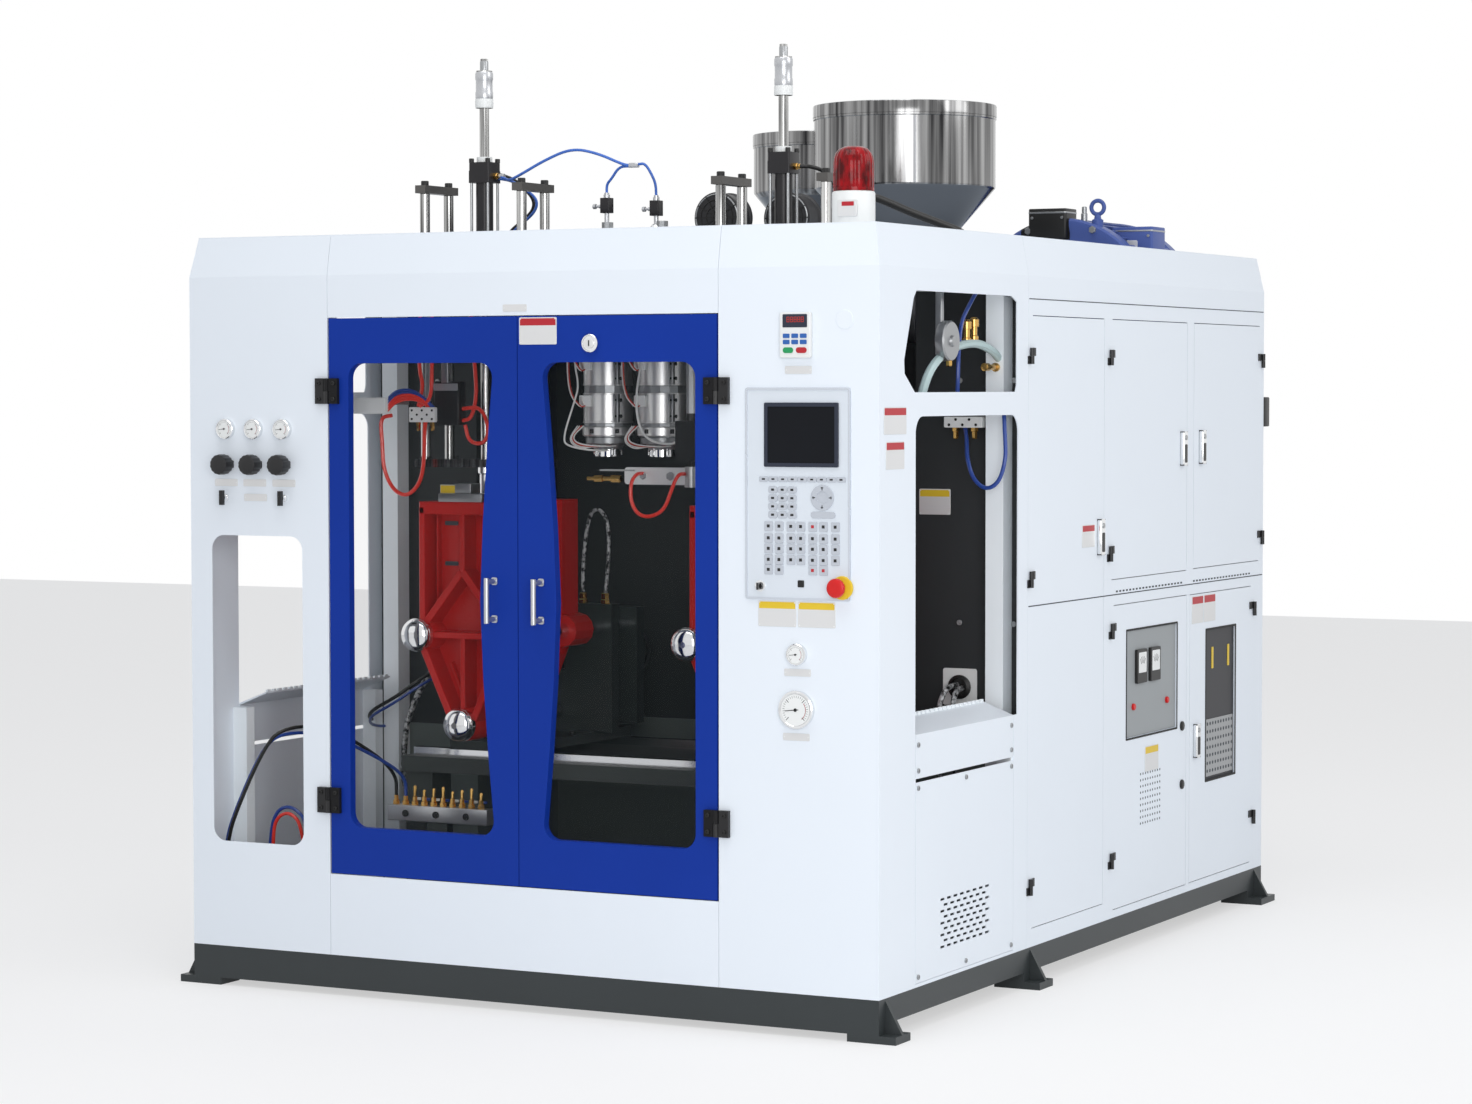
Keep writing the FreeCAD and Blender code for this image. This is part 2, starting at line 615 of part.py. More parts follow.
FACE = ("-face_out - 1.6", "-face_out")
pieces = [
    block("key_strip", ("641", "860"), FACE, ("1268", "1280")),
    block("number_pad", ("668", "735"), FACE, ("1185", "1258")),
    many_sided("arrow_pad", ("802", "-face_out - 1.6", "1233"), "y", 12, "29", "1.6"),
    block("page_bar", ("773", "835"), FACE, ("1186", "1202")),
    block("port", ("740", "756"), FACE, ("1028", "1046")),
]
columns = (666, 693, 723, 748, 778, 805, 835)
for row, up in enumerate((1167, 1140, 1116, 1091, 1068)):
    for column, across in enumerate(columns):
        if row == 4 and column in (2, 3, 6):
            continue
        pieces.append(block("key_%d_%d" % (row, column),
                            ("%d - 10.5" % across, "%d + 10.5" % across), FACE,
                            ("%d - 10.5" % up, "%d + 10.5" % up)))
node("panel_keys", fuse("panel_keys", pieces))

node("drive_keypad", fuse("drive_keypad", [
    block("pad_case", ("698", "776"), ("-12", "0"), ("1549", "1653")),
    block("pad_display", ("710", "764"), ("-13", "-12"), ("1622", "1645")),
]))

node("estop_button", fuse("estop_button", [
    many_sided("stop_disc", ("stop_x", "-face_out - 28", "stop_up"), "y", 16, "22", "13"),
    many_sided("stop_stem", ("stop_x", "-face_out - 15", "stop_up"), "y", 8, "8", "28"),
]))
node("key_switch", fuse("key_switch", [
    rod("lock_stem", ("lock_x", "-face_out - 6", "stop_up"), "y", "6", "20"),
    block("lock_tab", ("lock_x - 2", "lock_x + 2"), ("-face_out - 18", "-face_out - 6"),
          ("stop_up - 8", "stop_up + 8")),
]))

pieces = []
for number, across in enumerate(gauge_x):
    pieces.append(many_sided("dial_%d" % number, (across, "-12", "1382"), "y", 16, "24", "12"))
    pieces.append(many_sided("dial_tail_%d" % number, (across, "0", "1382"), "y", 6, "7",
                             "sheet + 17"))
    pieces.append(block("regulator_%d" % number, (across + " - 26", across + " + 26"),
                        ("20", "75"), ("1262", "1404")))
for label, up, radius in (("small", "876", "24"), ("big", "750", "42")):
    pieces.append(many_sided(label + "_dial", ("738", "-12", up), "y", 16, radius, "12"))
    pieces.append(many_sided(label + "_dial_tail", ("738", "0", up), "y", 6, "7", "30"))
node("gauges", fuse("gauges", pieces))

for number, across in enumerate(knob_x):
    node("regulator_knob_%d" % (number + 1), fuse("regulator_knob_%d" % (number + 1), [
        many_sided("knob_grip_%d" % number, (across, "-reach", "1295"), "y", 12, "25", "36"),
        rod("knob_stem_%d" % number, (across, "-14", "1295"), "y", "8", "14 + sheet + 10"),
    ]))
for number, across in enumerate(cock_x):
    node("air_cock_%d" % (number + 1), fuse("air_cock_%d" % (number + 1), [
        block("cock_lever_%d" % number, (across + " - 5", across + " + 5"), ("-24", "-14"),
              ("1195", "1231")),
        rod("cock_stem_%d" % number, (across, "-14", "1213"), "y", "5", "14 + sheet + 10"),
    ]))


# ---------------------------------------------------------------- clamp stations
def bars(name, x, near, far, grow):
    """Three parallel bars of one clamp, from one depth to another."""
    spots = (("%s - bar_span" % x, "bar_up"), ("%s + bar_span" % x, "bar_up"),
             (x, "low_bar_up"))
    return [many_sided("%s_%d" % (name, number), (across, near, up), "y", 12,
                       "bar_r + %s" % grow, "(%s) - (%s)" % (far, near))
            for number, (across, up) in enumerate(spots)]


def platen(name, x, face, rear, boss_near, boss_far):
    """Cast platen: facing plate, raised ribs and three bar bosses."""
    def at(low, high):
        return ("%s + %s" % (x, low), "%s + %s" % (x, high))
    plate = outline(name + "_plate", [
        ("%s - 125" % x, "platen_top"), ("%s + 125" % x, "platen_top"),
        ("%s + 125" % x, "bar_up + 30"), ("%s + 118" % x, "bar_up - 60"),
        ("%s + 40" % x, "low_bar_up - 8"), ("%s - 40" % x, "low_bar_up - 8"),
        ("%s - 118" % x, "bar_up - 60"), ("%s - 125" % x, "bar_up + 30")], "y", face[0], face[1])
    slots = [block("%s_slot_%d" % (name, number), at(low, high), (face[0] + " - 1", face[1] + " + 1"),
                   ("940", "1075")) for number, (low, high) in enumerate(((-52, -30), (30, 52)))]
    grown = [
        block(name + "_top_rib", at(-125, 125), rear, ("platen_top - 18", "platen_top")),
        block(name + "_mid_rib", at(-8, 8), rear, ("low_bar_up", "platen_top")),
        block(name + "_left_rib", at(-125, -110), rear, ("bar_up", "platen_top")),
        block(name + "_right_rib", at(110, 125), rear, ("bar_up", "platen_top")),
        block(name + "_cross_rib", at(-125, 125), rear, ("bar_up - 8", "bar_up + 8")),
    ]
    for number, sign in enumerate(("-", "+")):
        grown.append(outline("%s_slant_low_%d" % (name, number), [
            ("%s %s 118" % (x, sign), "bar_up"), ("%s %s 100" % (x, sign), "bar_up"),
            ("%s %s 10" % (x, sign), "low_bar_up + 10"), ("%s %s 26" % (x, sign), "low_bar_up + 4")],
            "y", rear[0], rear[1]))
        grown.append(outline("%s_slant_high_%d" % (name, number), [
            ("%s %s 120" % (x, sign), "platen_top - 12"), ("%s %s 104" % (x, sign), "platen_top - 12"),
            ("%s" % x, "bar_up + 20"), ("%s" % x, "bar_up - 4")], "y", rear[0], rear[1]))
    bosses = [
        many_sided(name + "_boss_0", ("%s - bar_span" % x, boss_near, "bar_up"), "y", 12,
                   "42", "(%s) - (%s)" % (boss_far, boss_near)),
        many_sided(name + "_boss_1", ("%s + bar_span" % x, boss_near, "bar_up"), "y", 12,
                   "42", "(%s) - (%s)" % (boss_far, boss_near)),
        many_sided(name + "_boss_2", (x, boss_near, "low_bar_up"), "y", 12,
                   "42", "(%s) - (%s)" % (boss_far, boss_near)),
    ]
    return fuse(name + "_form", [cut(name + "_face", plate, slots)] + grown + bosses)


for side, sign in (("left", "-"), ("right", "")):
    x = "%sslide_x" % sign
    wall = ("wall_y", "wall_y + 40")
    slide = "bed_top + track_high"
    bores = bars(side + "_wall_bore", x, "wall_y - 1", "wall_y + 41", "run_gap")
    parts = [block(side + "_slide_plate", (x + " - 115", x + " + 115"), ("500", "1040"),
                   (slide, slide + " + 25"))]
    for number, (low, high, up) in enumerate((
            ("- 165", "- ram_r - 4", (slide + " + 25", "920")),
            ("+ ram_r + 4", "+ 165", (slide + " + 25", "920")),
            ("- ram_r - 4", "+ ram_r + 4", (slide + " + 25", "ram_up - ram_r - 4")),
            ("- ram_r - 4", "+ ram_r + 4", ("ram_up + ram_r + 4", "920")))):
        part = block("%s_wall_%d" % (side, number), ("%s %s" % (x, low), "%s %s" % (x, high)),
                     wall, up)
        if number < 3:
            pick = (0, 1, 2)[number]
            part = cut("%s_wall_bored_%d" % (side, number), part, [bores[pick]])
        parts.append(part)
    node(side + "_carriage", together(side + "_carriage", parts))

    form = platen(side + "_front", x, ("front_face_y - 28", "front_face_y"),
                  ("front_face_y - 90", "front_face_y - 20"), "front_face_y - 90", "front_face_y")
    node(side + "_front_platen", cut(side + "_front_platen", form,
                                     bars(side + "_front_bore", x, "front_face_y - 95",
                                          "front_face_y + 5", "fit_gap")))

    near_nut = "front_face_y - 90"
    tied_bars = bars(side + "_bar", x, near_nut, "cross_y + 70", "0")
    for number, (across, up) in enumerate((("%s - bar_span" % x, "bar_up"),
                                           ("%s + bar_span" % x, "bar_up"), (x, "low_bar_up"))):
        tied_bars.append(fuse("%s_nut_%d" % (side, number), [
            many_sided("%s_nut_ring_%d" % (side, number), (across, near_nut + " - 16", up), "y",
                       16, "40", "16"),
            frustum("%s_nut_crown_%d" % (side, number), (across, near_nut + " - 33", up), "y",
                    16, "20", "36", "17")]))
    node(side + "_tie_bars", together(side + "_tie_bars", tied_bars))

    cross = fuse(side + "_cross_form", [
        block(side + "_cross_plate", (x + " - 165", x + " + 165"), ("cross_y", "cross_y + 40"),
              ("low_bar_up - 40", "bar_up + 45")),
        many_sided(side + "_ram_case", (x, "cross_y + 40", "ram_up"), "y", 16, "65", "220"),
    ])
    node(side + "_clamp_cylinder", cut(side + "_clamp_cylinder", cross,
         bars(side + "_cross_bore", x, "cross_y - 1", "cross_y + 41", "fit_gap")
         + [many_sided(side + "_ram_bore", (x, "cross_y - 1", "ram_up"), "y", 12,
                      "ram_r + run_gap", "246")]))

    form = platen(side + "_rear", x, ("rear_face_y", "rear_face_y + 28"),
                  ("rear_face_y + 20", "rear_face_y + 80"), "rear_face_y", "rear_face_y + 90")
    bored = cut(side + "_rear_bored", form, bars(side + "_rear_bore", x, "rear_face_y - 5",
                                                 "rear_face_y + 95", "run_gap"))
    node(side + "_moving_platen", fuse(side + "_moving_platen", [
        bored, many_sided(side + "_ram", (x, "rear_face_y + 20", "ram_up"), "y", 12, "ram_r",
                          "370")]))

# ---------------------------------------------------------------- blow stations
for side, sign in (("left", "-"), ("right", "")):
    x = "%sblow_x" % sign
    guides = [(dx, dy) for dx in ("- guide_span", "+ guide_span") for dy in ("-", "+")]
    tools = [many_sided("%s_guide_bore_%d" % (side, number),
                        ("%s %s" % (x, dx), "blow_y %s guide_half" % dy, BEAM_TOP + " - 5"), "z",
                        8, "guide_r + run_gap", "40") for number, (dx, dy) in enumerate(guides)]
    tools.append(many_sided(side + "_blow_bore", (x, "blow_y", "beam_up"), "z", 8,
                            "blow_rod_r + run_gap", "400"))
    node(side + "_blow_cylinder", cut(side + "_blow_cylinder", fuse(side + "_blow_form", [
        block(side + "_blow_mount", (x + " - guide_span - 40", x + " + guide_span + 40"),
              ("440", "670"), (BEAM_TOP, BEAM_TOP + " + 20")),
        block(side + "_blow_case", (x + " - 34", x + " + 34"), ("blow_y - 34", "blow_y + 34"),
              (BEAM_TOP + " + 20", BEAM_TOP + " + 247")),
        block(side + "_blow_head", (x + " - 40.5", x + " + 40.5"),
              ("blow_y - 40.5", "blow_y + 40.5"), (BEAM_TOP + " + 247", BEAM_TOP + " + 300")),
    ]), tools))
    moved = [
        block(side + "_blow_plate", (x + " - guide_span - 18", x + " + guide_span + 18"),
              ("472", "638"), ("blow_plate_up", "blow_plate_up + 20")),
        many_sided(side + "_blow_rod", (x, "blow_y", "blow_plate_up + 10"), "z", 8,
                   "blow_rod_r", BEAM_TOP + " + 434 - blow_plate_up"),
        many_sided(side + "_blow_ring", (x, "blow_y", BEAM_TOP + " + 437"), "z", 16, "22", "23"),
        many_sided(side + "_blow_union", (x, "blow_y", BEAM_TOP + " + 460"), "z", 16, "21", "71"),
        many_sided(side + "_blow_cap", (x, "blow_y", BEAM_TOP + " + 531"), "z", 12, "10", "30"),
        many_sided(side + "_blow_pin", (x, "blow_y", "blow_plate_up - 82"), "z", 16, "15", "82"),
    ]
    for number, (dx, dy) in enumerate(guides):
        moved.append(many_sided("%s_guide_%d" % (side, number),
                                ("%s %s" % (x, dx), "blow_y %s guide_half" % dy,
                                 "blow_plate_up + 10"),
                                "z", 8, "guide_r", BEAM_TOP + " + 219 - blow_plate_up"))
    for number, dx in enumerate(("- guide_span", "+ guide_span")):
        moved.append(block("%s_yoke_%d" % (side, number), ("%s %s - 15" % (x, dx),
                                                           "%s %s + 15" % (x, dx)),
                           ("blow_y - 80", "blow_y + 80"),
                           (BEAM_TOP + " + 222", BEAM_TOP + " + 242")))
        for step, dy in enumerate(("-", "+")):
            moved.append(many_sided("%s_yoke_bolt_%d_%d" % (side, number, step),
                                    ("%s %s" % (x, dx), "blow_y %s guide_half" % dy,
                                     BEAM_TOP + " + 242"), "z", 6, "9", "8"))
    node(side + "_blow_unit", fuse(side + "_blow_unit", moved))

# ---------------------------------------------------------------- heads and extruders
pieces = [block("head_block", ("-150", "150"), ("440", "690"), ("1610", "beam_up"))]
for number, sign in enumerate(("-", "")):
    x = "%sdie_x" % sign
    pieces.append(fuse("head_%d" % number, [
        many_sided("head_body_%d" % number, (x, "die_y", "tip_up + 50"), "z", 16, "60",
                   "1610 - tip_up - 50"),
        frustum("head_nose_%d" % number, (x, "die_y", "tip_up"), "z", 16, "24", "52", "50")]))
    pieces.append(many_sided("head_post_%d" % number, (x, "die_y", "beam_up"), "z", 8, "15",
                             "beam_high + 141"))
pieces += [
    block("cutter_arm_bar", ("150", "cutter_x + 18"), ("400", "470"), ("1650", "1690")),
    many_sided("cutter_post", ("cutter_x", "cutter_y", "cutter_up + 162"), "z", 8, "14",
               "1650 - cutter_up - 162"),
    block("cutter_drive", ("cutter_x - 30", "cutter_x + 30"), ("cutter_y - 30", "cutter_y + 30"),
          ("cutter_up + 65", "cutter_up + 162")),
    rod("cutter_spindle", ("cutter_x", "cutter_y", "cutter_up + 4"), "z", "8", "61"),
]
node("die_heads", together("die_heads", pieces))

node("cutter_arm", cut("cutter_arm", fuse("cutter_arm_form", [
    rod("cutter_hub", ("cutter_x", "cutter_y", "cutter_up"), "z", "18", "50"),
    block("cutter_beam", ("cutter_x - 160", "cutter_x - 8"), ("cutter_y - 11", "cutter_y + 11"),
          ("cutter_up + 5", "cutter_up + 45")),
    block("cutter_blade", ("cutter_x - 250", "cutter_x - 150"), ("cutter_y - 14", "cutter_y + 14"),
          ("cutter_up + 38", "cutter_up + 42")),
]), [rod("cutter_bore", ("cutter_x", "cutter_y", "cutter_up + 4 - run_gap"), "z",
         "8 + run_gap", "60")]))

node("extruder_barrels", together("extruder_barrels", [
    block("melt_adapter", ("side_feed_x - 60", "feed_x + 60"), ("690", "770"),
          ("barrel_up - 45", "barrel_up + 45")),
    many_sided("barrel", ("feed_x", "770", "barrel_up"), "y", 12, "barrel_r", "feed_y - 830"),
    many_sided("side_barrel", ("side_feed_x", "770", "barrel_up"), "y", 12, "barrel_r",
               SIDE_Y + " - 830"),
    block("feed_throat", ("feed_x - 60", "feed_x + 60"), ("feed_y - 60", "feed_y + 60"),
          ("1600", "1780")),
    block("side_feed_throat", ("side_feed_x - 60", "side_feed_x + 60"),
          (SIDE_Y + " - 60", SIDE_Y + " + 60"), ("1600", "1840")),
    block("gear_case", ("feed_x - 100", "feed_x + 100"), ("feed_y + 60", "feed_y + 400"),
          ("1500", "1790")),
    block("side_gear_case", ("side_feed_x - 100", "side_feed_x + 100"),
          (SIDE_Y + " + 60", SIDE_Y + " + 380"), ("1500", "1790")),
]))

pieces = []
for label, x, y, low, rim, top, radius in (
        ("main", "feed_x", "feed_y", "1780", "2033", "2218", "260"),
        ("side", "side_feed_x", SIDE_Y, "1840", "2038", "2170", "210")):
    pieces.append(fuse("hopper_" + label, [
        many_sided("hopper_neck_" + label, (x, y, low), "z", 24, "50", "15"),
        frustum("hopper_cone_" + label, (x, y, low + " + 15"), "z", 24, "50", radius,
                "%s - %s - 15" % (rim, low)),
        many_sided("hopper_wall_" + label, (x, y, rim), "z", 24, radius,
                   "%s - %s" % (top, rim))]))
node("hoppers", together("hoppers", pieces))
node("hopper_lids", together("hopper_lids", [
    many_sided("lid_main", ("feed_x", "feed_y", "2218"), "z", 24, "263", "48"),
    many_sided("lid_side", ("side_feed_x", SIDE_Y, "2170"), "z", 24, "213", "48"),
]))

node("drive_motor", fuse("drive_motor", [
    many_sided("motor_case", (MOTOR_X, MOTOR_Y, "motor_up"), "y", 32, "motor_r", "420"),
    block("motor_foot", (MOTOR_X + " - 120", MOTOR_X + " + 120"),
          (MOTOR_Y + " + 50", MOTOR_Y + " + 350"), ("motor_up - motor_r", "motor_up - 190")),
    block("motor_box", (MOTOR_X + " - 96", MOTOR_X + " + 20"),
          (MOTOR_Y + " - 5", MOTOR_Y + " + 80"), ("motor_up + 210", "motor_up + 297")),
    block("terminal_box", (MOTOR_X + " + 142", MOTOR_X + " + 267"),
          (MOTOR_Y + " - 5", MOTOR_Y + " + 100"), ("motor_up + 172", "motor_up + 259")),
    block("eye_shank", (MOTOR_X + " + 87", MOTOR_X + " + 103"),
          (MOTOR_Y + " + 17", MOTOR_Y + " + 33"), ("motor_up + 230", "motor_up + 276")),
    many_sided("eye_ring", (MOTOR_X + " + 95", MOTOR_Y + " + 19", "motor_up + 298"), "y", 16,
               "27", "12"),
]))

pieces = []
for number, (across, along) in enumerate((("60", "950"), ("170", "1050"))):
    pieces.append(many_sided("fan_%d" % number, (across + " - 30", along, "1920"), "x", 16,
                             "65", "60"))
    pieces.append(block("fan_foot_%d" % number, (across + " - 25", across + " + 25"),
                        (along + " - 40", along + " + 40"),
                        (ROOF, "1900")))
node("barrel_fans", fuse("barrel_fans", pieces))

node("beacon_base", many_sided("beacon_base", (LAMP_X, "lamp_y", ROOF), "z", 24, "50", "80"))
node("beacon_dome", fuse("beacon_dome", [
    many_sided("dome_wall", (LAMP_X, "lamp_y", ROOF + " + 80"), "z", 24, "47", "75"),
    many_sided("dome_top", (LAMP_X, "lamp_y", ROOF + " + 155"), "z", 24, "34", "28"),
]))

pieces = []
for number, across in enumerate(("-die_x", "die_x")):
    pieces.append(block("valve_%d" % number, (across + " - 34", across + " + 34"),
                        ("die_y - 34", "die_y + 34"), (BEAM_TOP + " + 141", BEAM_TOP + " + 229")))
    pieces.append(many_sided("valve_screw_%d" % number, (across, "die_y", BEAM_TOP + " + 229"),
                             "z", 6, "9", "45"))
    pieces.append(many_sided("valve_union_%d" % number, (across, "die_y - 52",
                                                         BEAM_TOP + " + 194"), "y", 6, "12",
                             "18"))
pieces.append(block("hose_junction", ("20", "50"), ("die_y - 85", "die_y - 55"),
                    (BEAM_TOP + " + 264", BEAM_TOP + " + 290")))
node("top_valves", fuse("top_valves", pieces))

pieces = [
    block("manifold_bar", ("-615", "-320"), ("380", "420"), ("385", "425")),
    block("manifold_leg", ("-500", "-440"), ("385", "415"), ("base_top", "385")),
    block("hung_valve", ("-640", "-540"), ("430", "470"), ("1388", "1438")),
    block("hung_valve_stem", ("-600", "-580"), ("440", "460"), ("1438", "beam_up")),
    block("wall_valve", ("741", "843"), ("part_y - 40", "part_y"), ("1384", "1411")),
]
for number in range(10):
    across = -600 + 28 * number
    pieces.append(many_sided("fitting_%d" % number, (str(across), "400", "425"), "z", 6, "8",
                             "20"))
for number, across in enumerate(("765", "815")):
    pieces.append(many_sided("wall_fitting_%d" % number, (across, "part_y - 20", "1411"), "z", 6,
                             "9", "22"))
node("air_manifold", together("air_manifold", pieces))

TAP = BEAM_TOP + " + 277"
UNION = BEAM_TOP + " + 194"
node("air_hoses", together("air_hoses", [
    hose("top_hose", [("40.5 - blow_x", "blow_y", TAP), ("90 - blow_x", "blow_y", TAP),
                      ("200 - blow_x", "blow_y - 10", TAP + " + 62"),
                      ("-110", "die_y - 62", TAP + " + 62"), ("-50", "die_y - 70", TAP),
                      ("20", "die_y - 70", TAP)], 7),
    hose("left_drop", [("28", "die_y - 70", BEAM_TOP + " + 264"),
                       ("28", "die_y - 70", BEAM_TOP + " + 232"), ("-78", "die_y - 96",
                                                                  BEAM_TOP + " + 236"),
                       ("-die_x", "die_y - 96", UNION), ("-die_x", "die_y - 52", UNION)], 5),
    hose("right_drop", [("50", "die_y - 70", TAP), ("die_x", "die_y - 74", TAP),
                        ("die_x", "die_y - 98", BEAM_TOP + " + 240"),
                        ("die_x", "die_y - 94", UNION), ("die_x", "die_y - 52", UNION)], 5),
    hose("deck_tube", [("440", "1000", ROOF), ("440", "1000", ROOF + " + 100"),
                       ("565", "1000", ROOF + " + 130"), ("690", "1000", ROOF + " + 90"),
                       ("690", "1000", ROOF)], 16),
    hose("wall_loop", [("765", "842", "1433"), ("765", "842", "1520"), ("815", "842", "1520"),
                       ("815", "842", "1433")], 5),
]))

doc.recompute()
os.makedirs("parts", exist_ok=True)
for item in doc.Objects:
    if "Invalid" in item.State or "Error" in item.State:
        raise RuntimeError("object in error: %s %s" % (item.Name, item.State))
for item in nodes:
    if item.Shape.isNull() or not item.Shape.isValid():
        raise RuntimeError("bad shape: %s" % item.Label)
    item.Shape.exportStep("parts/%s.step" % item.Label)
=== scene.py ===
"""Finish, small fittings, stage and camera for the blow moulding machine.

Lengths inside this file are shop millimetres: x to the right, y back from the front sheet, z up.
"""

import math

import bpy
import numpy as np
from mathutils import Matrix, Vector


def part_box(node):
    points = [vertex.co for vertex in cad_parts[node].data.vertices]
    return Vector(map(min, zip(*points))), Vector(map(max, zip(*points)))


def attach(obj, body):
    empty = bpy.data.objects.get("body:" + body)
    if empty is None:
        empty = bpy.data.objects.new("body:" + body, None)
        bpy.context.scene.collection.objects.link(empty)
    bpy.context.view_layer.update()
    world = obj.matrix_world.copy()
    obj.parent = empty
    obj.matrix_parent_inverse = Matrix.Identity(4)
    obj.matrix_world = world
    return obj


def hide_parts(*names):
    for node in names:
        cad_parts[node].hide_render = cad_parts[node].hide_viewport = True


bl_info = {
    "name": "Blow moulding machine dressing",
    "version": (1, 0, 0),
    "blender": (4, 5, 0),
    "location": "View3D > Sidebar > Moulder",
    "description": "Dresses the packed blow moulding machine with finishes and fittings",
    "category": "Object",
}

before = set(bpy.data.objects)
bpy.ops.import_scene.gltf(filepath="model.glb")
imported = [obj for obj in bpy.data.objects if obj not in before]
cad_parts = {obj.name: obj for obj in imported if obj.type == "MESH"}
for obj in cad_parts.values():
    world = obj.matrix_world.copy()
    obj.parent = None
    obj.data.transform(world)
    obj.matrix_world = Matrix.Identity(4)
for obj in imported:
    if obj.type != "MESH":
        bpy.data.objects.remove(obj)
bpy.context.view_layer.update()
# Place of the front sheet in the frame, and of the right-hand sheets across the machine.
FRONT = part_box("lower_front_panel")[0].y * 1000
SIDE_FACE = 942.5
# Bare plates: thickness, then the rim and the share of the height of their coloured band.
PLATE_THICK = 1.2
BAND_INSET = 2.5
BAND_SHARE = 0.26
# Edges that bend by more than this many degrees are shown sharp.
SHARP_FROM = 35


# ------------------------------------------------------------------ forms
# The two crosswise axes and the long axis of a form that runs along x, y or z.
AXES = {"x": (1, 2, 0), "y": (2, 0, 1), "z": (0, 1, 2)}
ORIGIN = (0, 0, 0)


def grid_faces(rows, columns, wrap_rows=False, wrap_columns=False):
    """Quads that join each grid point to the next one along both ways."""
    index = np.arange(rows * columns).reshape(rows, columns)
    i = np.arange(rows if wrap_rows else rows - 1)
    j = np.arange(columns if wrap_columns else columns - 1)
    a = index[np.ix_(i, j)]
    b = index[np.ix_((i + 1) % rows, j)]
    c = index[np.ix_((i + 1) % rows, (j + 1) % columns)]
    d = index[np.ix_(i, (j + 1) % columns)]
    return np.stack([a, b, c, d], -1).reshape(-1, 4)


def capped(points, rows, columns):
    """Closed form from rings of points: quads round the side and one flat face at each end."""
    first = np.arange(columns)[None, ::-1]
    last = np.arange((rows - 1) * columns, rows * columns)[None]
    return outward((points, [grid_faces(rows, columns, wrap_columns=True), first, last]))


def outward(form):
    """Turns a closed form's faces round where its signed volume comes out negative."""
    points, blocks = form
    volume = 0.0
    for block in blocks:
        ring = points[block]
        for step in range(1, block.shape[1] - 1):
            volume += np.einsum("ij,ij->", ring[:, 0], np.cross(ring[:, step],
                                                                ring[:, step + 1]))
    if volume < 0:
        blocks = [block[:, ::-1] for block in blocks]
    return points, blocks


def set_at(points, blocks, way, centre):
    """Swings a form whose own axis is z along another axis, then moves it to its centre."""
    turned = points[..., {"x": (2, 0, 1), "y": (1, 2, 0), "z": (0, 1, 2)}[way]]
    return outward((turned + np.array(centre, float), blocks))


def spun(profile, sides):
    """Points of radius and height pairs turned once round the z axis, ring by ring."""
    profile = np.array(profile, float)
    angle = np.linspace(0, 2 * np.pi, sides, endpoint=False)
    ring = np.stack([np.cos(angle), np.sin(angle)], -1)
    heights = np.broadcast_to(profile[:, None, 1:], (len(profile), sides, 1))
    return np.concatenate([profile[:, None, :1] * ring[None], heights], -1).reshape(-1, 3)


def lathe(profile, centre, way, sides):
    """Radius and height pairs turned once round the axis, flat discs closing both ends."""
    return set_at(*capped(spun(profile, sides), len(profile), sides), way, centre)


def round_outline(half_u, half_v, radius):
    """Rectangle whose corners are quarter circles of four steps, as a closed run of points."""
    radius = max(min(radius, half_u - 1e-4, half_v - 1e-4), 1e-3)
    arc = np.linspace(0, np.pi / 2, 5)
    spots = []
    for number, (su, sv) in enumerate(((1, 1), (-1, 1), (-1, -1), (1, -1))):
        angle = arc + number * np.pi / 2
        spots.append(np.stack([su * (half_u - radius) + radius * np.cos(angle),
                               sv * (half_v - radius) + radius * np.sin(angle)], -1))
    return np.concatenate(spots)


def box_of(low, high):
    """Low corner, middle and half sizes of a box given by any two opposite corners."""
    low, high = np.minimum(low, high).astype(float), np.maximum(low, high).astype(float)
    return low, (low + high) / 2, (high - low) / 2


def outline_rings(box, way, radius, least, steps):
    """Rounded rectangle at each inset and rise above the box's low face, as rings of points."""
    low, middle, half = box
    u, v, w = AXES[way]
    rings = []
    for inset, rise in steps:
        flat = round_outline(half[u] - inset, half[v] - inset, max(radius - inset, least))
        ring = np.zeros((len(flat), 3))
        ring[:, u], ring[:, v] = middle[u] + flat[:, 0], middle[v] + flat[:, 1]
        ring[:, w] = low[w] + rise
        rings.append(ring)
    return np.concatenate(rings), len(rings), len(flat)


def slab(low, high, way, radius, edge):
    """Rounded rectangle carried along one axis, its two rims eased inwards by the edge width."""
    box = box_of(low, high)
    edge = min(edge, *(box[2] * 0.9))
    deep = 2 * box[2][AXES[way][2]]
    return capped(*outline_rings(box, way, radius, 0.05, (
        (edge, 0.0), (edge * 0.3, edge * 0.3), (0.0, edge), (0.0, deep - edge),
        (edge * 0.3, deep - edge * 0.3), (edge, deep))))


def curve_through(corners, count):
    """Quadratic B-spline that starts and ends on the first and last corner."""
    corners = np.array(corners, float)
    padded = np.concatenate([corners[:1], corners, corners[-1:]])
    spans = len(padded) - 2
    place = np.linspace(0, spans - 1e-9, count)
    span = place.astype(int)
    f = (place - span)[:, None]
    a, b, c = padded[span], padded[span + 1], padded[span + 2]
    line = 0.5 * ((1 - f) ** 2 * a + (1 + 2 * f - 2 * f * f) * b + f * f * c)
    line[0], line[-1] = corners[0], corners[-1]
    return line


